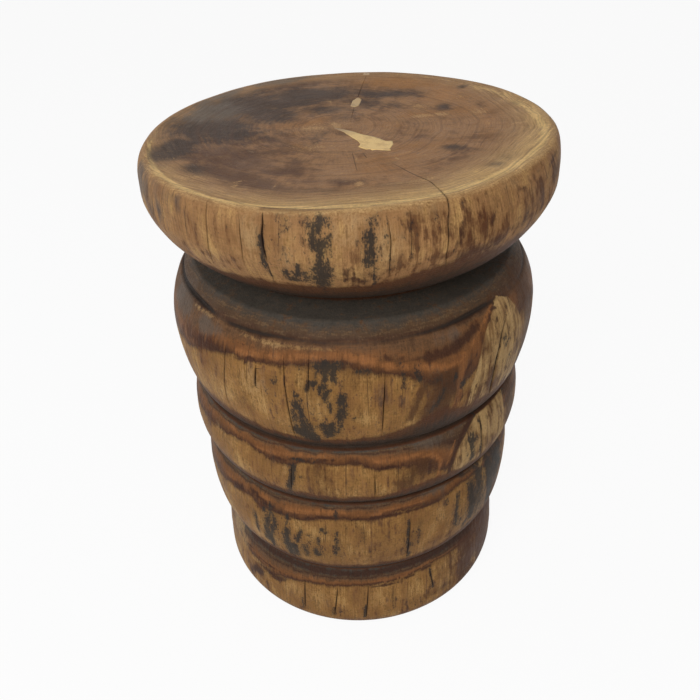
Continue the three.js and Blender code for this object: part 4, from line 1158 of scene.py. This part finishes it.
class Socket:
    """An output of a material's nodes. Arithmetic on it adds Math nodes."""

    def __init__(self, tree, socket):
        self.tree = tree
        self.socket = socket

    def node(self, kind, settings, sockets, output=0):
        """Any node: its settings by name, what goes into its sockets by name or number, and the
        output that is wanted."""
        made = self.tree.nodes.new(kind)
        for name, value in settings.items():
            setattr(made, name, value)
        for name, value in sockets.items():
            if isinstance(value, Socket):
                self.tree.links.new(value.socket, made.inputs[name])
            else:
                made.inputs[name].default_value = value
        return Socket(self.tree, made.outputs[output])

    def math(self, operation, *values):
        """A Math node on the values."""
        return self.node("ShaderNodeMath", {"operation": operation}, dict(enumerate(values)))

    def vector(self, operation, *values, output=0):
        """A Vector Math node on the values."""
        return self.node("ShaderNodeVectorMath", {"operation": operation}, dict(enumerate(values)), output)

    def __add__(self, other):
        return self.math("ADD", self, other)

    def __radd__(self, other):
        return self.math("ADD", other, self)

    def __sub__(self, other):
        return self.math("SUBTRACT", self, other)

    def __rsub__(self, other):
        return self.math("SUBTRACT", other, self)

    def __mul__(self, other):
        return self.math("MULTIPLY", self, other)

    def __rmul__(self, other):
        return self.math("MULTIPLY", other, self)

    def __truediv__(self, other):
        return self.math("DIVIDE", self, other)

    def __rtruediv__(self, other):
        return self.math("DIVIDE", other, self)

    def __abs__(self):
        return self.math("ABSOLUTE", self)

    def most(self, other):
        """The greater of this value and another."""
        return self.math("MAXIMUM", self, other)

    def step(self, low, high):
        """0 at low and 1 at high, with a smooth step between."""
        sockets = {"Value": self, 1: low, 2: high}
        return self.node("ShaderNodeMapRange", {"interpolation_type": "SMOOTHSTEP"}, sockets)

    def toward(self, colour, share):
        """This colour mixed with another by a share."""
        return self.node("ShaderNodeMix", {"data_type": "RGBA"}, {0: share, 6: self, 7: colour}, 2)

    def blend(self, low, high):
        """The colour between two by this value from 0 to 1."""
        return self.node("ShaderNodeMix", {"data_type": "RGBA"}, {0: self, 6: low, 7: high}, 2)

    def scaled(self, factor):
        """This place or colour times a factor."""
        return self.node("ShaderNodeVectorMath", {"operation": "SCALE"}, {0: self, "Scale": factor})

    def stretched(self, across, along):
        """This place with its parts scaled: across for x and y, along for z."""
        return self.vector("MULTIPLY", self, (across, across, along))

    def plus(self, other):
        """This place moved by another."""
        return self.vector("ADD", self, other)

    def as_height(self):
        """This value as the height of a place a little off the axis, where noise is at its full
        strength."""
        return self.node("ShaderNodeCombineXYZ", {}, {"X": OFF_AXIS[0], "Y": OFF_AXIS[1], "Z": self})

    def ramp(self, colours, top):
        """A colour from a list of them, one at each whole number up to the top."""
        made = self.node("ShaderNodeValToRGB", {}, {"Fac": self / top})
        elements = made.socket.node.color_ramp.elements
        while len(elements) < len(colours):
            elements.new(0.5)
        for k, colour in enumerate(colours):
            elements[k].position = k / top
            elements[k].color = colour
        return made

    def noise(self, scale, detail=2.0, roughness=0.55):
        """Noise about 0, mostly from -1 to 1, over this place."""
        settings = {"noise_dimensions": "3D"}
        sockets = {"Vector": self, "Scale": scale, "Detail": detail, "Roughness": roughness}
        return self.node("ShaderNodeTexNoise", settings, sockets) * (2 * NOISE_SPREAD) - NOISE_SPREAD

    def bump(self, strength, millimetres):
        """The surface's normal with this value as its relief, that many millimetres high."""
        sockets = {"Strength": strength, "Distance": millimetres * MM, "Height": self}
        return self.node("ShaderNodeBump", {}, sockets)

    def feed(self, shader, name):
        """Links this output into one of a shader's sockets."""
        self.tree.links.new(self.socket, shader.inputs[name])


def new_material(name):
    """A material, its surface shader, and that shader's output to start other nodes from."""
    material = bpy.data.materials.new(name)
    material.use_nodes = True
    tree = material.node_tree
    shader = next(node for node in tree.nodes if node.type == "BSDF_PRINCIPLED")
    start = Socket(tree, shader.outputs[0])
    return material, shader, start


def place_on(start):
    """Where a point lies on its piece, in millimetres."""
    return start.node("ShaderNodeTexCoord", {}, {}, "Object").scaled(1 / MM)


class Grain:
    """The patterns that the log's colour and relief are mixed from. A noise's scale is how many of
    its lumps fit in a millimetre. The three patterns along the fibres die out where the wood lies
    level, and the others show all over."""

    def __init__(self, start, layer):
        self.place = place_on(start)
        flat = self.place.stretched(1.0, 0.0)
        bearing = flat.vector("NORMALIZE", flat)
        upright = 1 - layer("level").step(0.35, 0.9)

        def along_fibres(squeeze):
            return bearing.stretched(FIBRE_RADIUS, 0.0).plus(self.place.stretched(0.0, squeeze))

        # Along the fibres, and round the log
        self.streak = along_fibres(0.05).noise(0.3, 3.0) * upright
        self.thread = along_fibres(0.06).noise(0.95, 2.0) * upright
        self.stroke = along_fibres(0.08).noise(0.55, 2.0) * upright
        round_the_axis = bearing.stretched(TURNING_RADIUS, 0.0)
        self.turning = round_the_axis.plus(layer("station").as_height()).noise(0.8, 2.0)

        # Patches, from the broadest to the finest
        self.mottle = self.place.noise(0.03, 3.0)
        self.cloud = self.place.stretched(1.0, 0.7).noise(0.045, 2.0)
        self.blotch = self.place.stretched(1.0, 0.55).noise(0.09, 3.0, 0.5)
        self.fleck = self.place.stretched(1.0, 0.4).noise(0.3, 3.0, 0.6)
        self.grit = self.place.stretched(1.0, 0.6).noise(0.75, 3.0, 0.6)

        # Growth rings round the pith, a little bent, with the arcs and rays that break them up
        from_pith = flat.vector("SUBTRACT", flat, (*PITH, 0.0))
        distance = from_pith.vector("LENGTH", from_pith, output="Value")
        bent = self.place.stretched(1.0, 0.25)
        distance = distance + bent.noise(0.014, 0.0) * 6 + bent.noise(0.05, 0.0) * 1.2
        self.rings = distance.as_height().noise(0.3, 3.0, 0.7)
        way = from_pith.vector("NORMALIZE", from_pith)

        def around_pith(spread, squeeze):
            return way.stretched(spread, 0.0).plus((distance * squeeze).as_height())

        self.arcs = around_pith(7.0, 0.42).noise(1.0, 3.0, 0.65)
        self.rays = around_pith(60.0, 0.03).noise(1.0, 2.0)


def side_colour(layer, grain):
    """The rings' sides: bands frayed along the fibres, then patches, stains and the cut line. Each
    is mixed over the last, by a layer of the mesh whose edges the grain frays."""
    streak, thread, blotch, fleck, grit = grain.streak, grain.thread, grain.blotch, grain.fleck, grain.grit
    tone = layer("tone")
    banded = 1 - tone.step(EDGE + 0.2, PALE)
    frayed = tone + streak * 0.35 + thread * 0.12 + grit * 0.2 + fleck * 0.35 + blotch * 0.15
    frayed = frayed + (grain.rings * 0.3 + grain.turning * 0.15) * banded
    colour = frayed.ramp(BAND_TONES, SAPWOOD)

    # The pale faces' clouds, and the torn grain at the top of each ring's shoulder
    face = tone.step(EDGE, PALE)
    clouded = grain.cloud * 0.7 + blotch * 0.5 + fleck * 0.35 + streak * 0.35 + grit * 0.3
    colour = colour.toward(SIDE_TONES["clouded"], clouded.step(-0.25, 1.0) * face * 0.85)
    bright = grit * 0.15 + thread * 0.25 - blotch * 0.5 - grain.cloud * 0.6 - streak * 0.2
    colour = colour.toward(SIDE_TONES["bright"], bright.step(0.0, 0.85) * face * 0.75)
    near_brown = 1 - abs(tone - (BROWN + 0.2)).step(0.4, 1.2)
    torn = (grain.turning * 0.8 + grit * 0.6).step(0.05, 0.5) * near_brown
    colour = colour.toward(SIDE_TONES["torn"], torn * 0.5)
    loose = streak * 0.2 + blotch * 0.25 + fleck * 0.25 + thread * 0.1
    # Umber: broad brown wood, and painted shade on the right side and the fourth ring's front
    umber = (layer("umber") + loose * 1.2).step(0.1, 0.8)
    colour = colour.toward(SIDE_TONES["umber"], umber * 0.85)

    # The lens-shaped figure, with its clouds and veins
    inside = layer("lens") + streak * 1.2 + thread * 0.8 + fleck * 1.2
    level = 1 - layer("under").step(0.4, 1.0)
    figured = blotch * 0.6 + grain.cloud * 0.5 + streak * 0.5 + thread * 0.2 + fleck * 0.2
    inner = figured.step(-0.5, 0.5).blend(SIDE_TONES["lens"], SIDE_TONES["lens_cloud"])
    colour = colour.toward(inner, inside.step(0.3, 2.2) * level * 0.92)
    veins = (fleck * 0.8 + thread * 0.5 + blotch * 0.6 + grit * 0.2).step(0.1, 0.75)
    colour = colour.toward(SIDE_TONES["lens_vein"], inside.step(1.0, 3.0) * level * veins * 0.8)

    # Strokes and dabs
    amber = (layer("amber") + loose * 1.6).step(0.35, 1.1)
    colour = colour.toward(SIDE_TONES["amber"], amber * 0.75)
    # Cream and light: pale wood, and painted highlights under the cut line and at the base's left end
    cream = (layer("cream") + loose * 1.2 + grit * 0.3).step(0.15, 1.0)
    colour = colour.toward(SIDE_TONES["cream"], cream * 0.7)
    light = (layer("light") + loose * 1.2 + grit * 0.2).step(0.2, 1.0)
    colour = colour.toward(SIDE_TONES["light"], light * 0.6)
    # Red: reddish wood, partly painted shade at the base's right
    red = (layer("red") + streak * 0.4 + blotch * 0.5 + fleck * 0.4).step(0.15, 0.75)
    colour = colour.toward(SIDE_TONES["red"], red * 0.7)
    # Grey patches and the painted sheen on the left
    grey = (layer("grey") + streak * 0.3 + blotch * 0.4).step(0.15, 0.85)
    colour = colour.toward(SIDE_TONES["grey"], grey * 0.75)

    # Where the ring turns under into the groove, painted shade over reddish wood, and the dark lines
    # of the bands
    under = layer("under") + streak * 0.3 + thread * 0.2 + fleck * 0.25 + grain.rings * 0.25
    colour = colour.toward(SIDE_TONES["lower_edge"], under.step(0.05, 0.95) * 0.92)
    colour = colour.toward(SIDE_TONES["groove"], under.step(0.95, 1.9))
    rust = (layer("rust") + loose * 1.1).step(0.25, 0.85)
    colour = colour.toward(SIDE_TONES["rust"], rust * 0.9)

    # The grain's light and dark over all of it, then the black stains, with a little painted shade
    # on the fourth ring, and the painted shade in the cut line
    shade = 0.99 + grit * 0.26 + thread * 0.18 + fleck * 0.16
    shade = shade + grain.rings * 0.1 + blotch * 0.15 + grain.turning * 0.1
    colour = colour.scaled(shade)
    colour = colour.toward(SIDE_TONES["fibre"], (grain.stroke + blotch * 0.4).step(0.75, 1.05) * 0.5)
    mixed = grit * 0.75 + fleck * 0.5 + blotch * 0.2 + thread * 0.25
    black = (layer("black") + mixed).step(0.3, 1.05) * 0.9
    ink = (layer("ink") + layer("black") * 0.3 + mixed * 0.8).step(0.15, 0.9)
    colour = colour.toward(SIDE_TONES["black"], black.most(ink) * 0.93)
    # The cut line's dark is painted shade in its V
    return colour.toward(SIDE_TONES["cut_line"], (layer("line") + grit * 0.6).step(0.3, 1.8) * 0.85)


def seat_colour(layer, grain):
    """The seat: rings of growth round the pith under clouds of darker and warmer wood, inside a
    rim of pale sapwood, with a painted highlight along the crest, and painted sheen in its tones
    and its green patches."""
    cloudy = grain.mottle * 0.4 + grain.blotch * 0.4 + grain.arcs * 0.4 + grain.fleck * 0.2
    dark = (cloudy + grain.rays * 0.15).step(-0.2, 0.6)
    colour = dark.blend(SEAT_TONES["plain"], SEAT_TONES["dark"])
    orange = (layer("orange") + cloudy * 0.7).step(0.15, 0.95)
    colour = colour.toward(SEAT_TONES["orange"], orange * 0.75)
    purple = (layer("purple") + cloudy * 0.5).step(0.05, 0.85)
    colour = colour.toward(SEAT_TONES["purple"], purple * 0.85)

    # The pale rim, the painted highlight along its crest and the dark line along the edge
    rim = layer("rim") + grain.arcs * 6 + grain.blotch * 4 + grain.rays * 2
    colour = colour.toward(SEAT_TONES["sapwood"], rim.step(-14.0, 6.0) * 0.85)
    colour = colour.toward(SEAT_TONES["rim"], rim.step(2.0, 22.0) * 0.85)
    bright = (layer("glow") + grain.arcs * 0.4 + grain.fleck * 0.25).step(0.15, 0.9)
    colour = colour.toward(SEAT_TONES["crest"], bright * 0.9)
    edge = (layer("rust") + grain.grit * 0.3).step(0.2, 0.9)
    colour = colour.toward(SEAT_TONES["edge"], edge * 0.8)

    # Patches over both, then the growth rings' light and dark
    charcoal = (layer("charcoal") + cloudy * 0.35 + grain.arcs * 0.15).step(0.1, 0.85)
    colour = colour.toward(SEAT_TONES["charcoal"], charcoal * 0.9)
    # Green: greyer wood under painted sheen at the seat's left and back
    green = (layer("green") + cloudy * 0.5).step(0.1, 0.8)
    colour = colour.toward(SEAT_TONES["green"], green * 0.75)
    pale = (layer("pale") + cloudy * 0.5 + grain.grit * 0.3).step(0.3, 0.8)
    colour = colour.toward(SEAT_TONES["pale"], pale * 0.75)
    shade = 1.01 + grain.rings * 0.32 + grain.arcs * 0.34 + grain.grit * 0.16 + grain.fleck * 0.14
    colour = colour.scaled(shade)
    lines = (grain.rings + grain.arcs * 0.3 + grain.rays * 0.1).step(0.0, 0.5)
    return colour.toward(SEAT_TONES["ring"], lines * 0.44)


def log_looks():
    """The log's wood. Its bands and patches come from the mesh, and the grain frays them."""
    material, shader, start = new_material("brown_wood")

    def layer(name):
        return start.node("ShaderNodeAttribute", {"attribute_name": name}, {}, "Fac")

    grain = Grain(start, layer)
    top = (layer("inboard") + grain.grit * 1.5).step(-3.0, 1.0)
    colour = side_colour(layer, grain).toward(seat_colour(layer, grain), top)

    # Checks, hairlines and the stains beside them over all of it. The checks' near-black is
    # painted shade inside the open cracks.
    ragged = grain.thread * 0.3 + grain.grit * 0.35
    half, away = layer("check_half"), abs(layer("check_side"))
    stain = (half * 1.3 + 0.5 + ragged * 1.4 - away).step(-0.4, 1.0) * half.step(0.1, 0.5)
    check = (half * 0.9 + 0.1 + ragged * 0.4 - away).step(0.0, 0.35) * half.step(0.03, 0.2)
    hair_half, hair_away = layer("hair_half"), abs(layer("hair_side"))
    hair = (hair_half + 0.1 + ragged * 0.5 - hair_away).step(-0.2, 0.3) * hair_half.step(0.03, 0.15)
    colour = colour.toward(CHECK_TONES["stain"], stain * 0.5)
    colour = colour.toward(CHECK_TONES["check"], check)
    colour.toward(CHECK_TONES["hairline"], hair * 0.75).feed(shader, "Base Color")

    (grain.mottle * 0.1 + grain.fleck * 0.1 + 0.55).feed(shader, "Roughness")
    relief = grain.thread * 0.3 + grain.streak * 0.3 + grain.grit * 0.4 + grain.fleck * 0.4
    relief = relief + grain.turning * 0.25 - grain.stroke.step(0.45, 0.7) * 0.5
    relief = relief + (grain.rings * 0.4 + grain.arcs * 0.4) * top
    relief.bump(0.6, 0.5).feed(shader, "Normal")
    shader.inputs["Specular IOR Level"].default_value = WOOD_SHINE
    return material


def fill_looks(name, pale, dark, browned):
    """A pale fill, sanded flush, with faint specks and soft clouds of a darker tone. It is brown
    short of that many millimetres along the chip, and the brown fades from there."""
    material, shader, start = new_material(name)
    place = place_on(start)
    cloud = place.noise(0.12, 3.0) + place.noise(0.8, 2.0) * 0.5
    colour = (cloud.step(-0.1, 0.6) * 0.7).blend(linear(*pale), linear(*dark))
    along = place.vector("DOT_PRODUCT", place, ALONG_CHIP, output="Value")
    brown = 1 - (along + cloud * 3).step(browned, browned + BROWN_FADE)
    colour.toward(TAIL_BROWN, brown * 0.85).feed(shader, "Base Color")
    shader.inputs["Roughness"].default_value = FILL_ROUGHNESS
    place.noise(0.7, 2.0).bump(0.4, 0.2).feed(shader, "Normal")
    return material


def seen_as_background(start):
    """1 for rays that show a surface as background: to the camera, and in gloss and glass."""
    camera = start.node("ShaderNodeLightPath", {}, {}, "Is Camera Ray")
    outputs = camera.socket.node.outputs
    gloss = Socket(start.tree, outputs["Is Glossy Ray"])
    glass = Socket(start.tree, outputs["Is Transmission Ray"])
    return camera.most(gloss).most(glass)


# The floor: its side in metres, its colour and roughness, and how much of its white is its own,
# so that the rest keeps the stool's shadow. The world's light on the object.
FLOOR_SIZE = 12
FLOOR_COLOUR = (0.85, 0.85, 0.85, 1)
FLOOR_ROUGHNESS = 0.9
FLOOR_WHITE = 0.93
AMBIENT = 0.215

# The lamps, in metres: place, what they shine at, size, power and tint
LAMPS = {
    "key": ((-0.45, -1.5, 1.55), (0, 0, 0.25), 1.2, 29, (1, 1, 1)),
    "fill": ((1.2, -1.6, 1.0), (0, 0, 0.2), 1.4, 2, (1, 0.78, 0.56)),
    "left": ((-1.9, 0.5, 0.9), (0, 0, 0.25), 1.2, 5.5, (0.92, 0.98, 1.06)),
}

# The camera: its focal length and sensor in millimetres, its place in metres, how far it looks
# down, and its turn to the left and its roll, all three as angles
FOCAL_LENGTH, SENSOR_WIDTH = 38.592, 36
CAMERA_PLACE = (0.00267, -0.59602, 0.64032)
LOOKS_DOWN, TURNS_LEFT, ROLLS = 34.357 * DEGREES, 0.0134, -0.0382


def build_stage():
    """A plain pale floor that keeps the stool's shadow, and a white backdrop."""
    bpy.ops.mesh.primitive_plane_add(size=FLOOR_SIZE, location=(0, 0, 0))
    floor = bpy.context.object
    floor.name = "floor"
    material, shader, start = new_material("floor")
    shader.inputs["Base Color"].default_value = FLOOR_COLOUR
    shader.inputs["Roughness"].default_value = FLOOR_ROUGHNESS
    seen = seen_as_background(start)
    white = start.node("ShaderNodeEmission", {}, {"Color": (1, 1, 1, 1), "Strength": 1.0})
    both = start.node("ShaderNodeMixShader", {}, {0: seen * FLOOR_WHITE, 1: start, 2: white})
    output = next(node for node in start.tree.nodes if node.type == "OUTPUT_MATERIAL")
    both.feed(output, "Surface")
    floor.data.materials.append(material)


def area_light(name, place, target, size, power, tint):
    """A round lamp at a place, turned to shine at its target."""
    light = bpy.data.lights.new(name, "AREA")
    light.color = tint
    light.shape = "DISK"
    light.size = size
    light.energy = power
    lamp = bpy.data.objects.new(name, light)
    bpy.context.scene.collection.objects.link(lamp)
    way = Vector(target) - Vector(place)
    lamp.matrix_world = Matrix.Translation(place) @ way.to_track_quat("-Z", "Y").to_matrix().to_4x4()


def light_world():
    """A backdrop that is white where it is seen and shines on the object with the ambient light."""
    world = bpy.data.worlds.new("backdrop")
    bpy.context.scene.world = world
    world.use_nodes = True
    tree = world.node_tree
    back = next(node for node in tree.nodes if node.type == "BACKGROUND")
    start = Socket(tree, back.outputs[0])
    back.inputs["Color"].default_value = (1, 1, 1, 1)
    (seen_as_background(start) * (1 - AMBIENT) + AMBIENT).feed(back, "Strength")


def set_camera():
    """The camera at the photograph's angle: rolled, tilted from straight down and turned."""
    camera = bpy.data.cameras.new("camera")
    camera.lens = FOCAL_LENGTH
    camera.sensor_width = SENSOR_WIDTH
    seen_from = bpy.data.objects.new("camera", camera)
    bpy.context.scene.collection.objects.link(seen_from)
    seen_from.matrix_world = (
        Matrix.Translation(CAMERA_PLACE) @ Matrix.Rotation(TURNS_LEFT, 4, "Z")
        @ Matrix.Rotation(math.pi / 2 - LOOKS_DOWN, 4, "X") @ Matrix.Rotation(ROLLS, 4, "Z")
    )
    bpy.context.scene.camera = seen_from


log = build_log(log_looks())
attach(log, "root")
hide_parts("ringed_log")
# Each fill: what makes it, the solid that it stands for, its two tones and where it browns
for build, node, pale, dark, browned in (
    (build_pith_fill, "pith_fill", (228, 192, 124), (198, 158, 96), PITH_BROWN),
    (build_check_fill, "check_fill", (190, 157, 106), (154, 124, 84), CHECK_BROWN),
    (build_rim_fill, "rim_fill", (176, 144, 106), (142, 110, 78), RIM_BROWN),
):
    piece = build(fill_looks(node, pale, dark, browned))
    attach(piece, "root")
    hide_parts(node)

build_stage()
light_world()
for name, settings in LAMPS.items():
    area_light(name, *settings)
set_camera()
bpy.context.scene.view_settings.view_transform = "Standard"
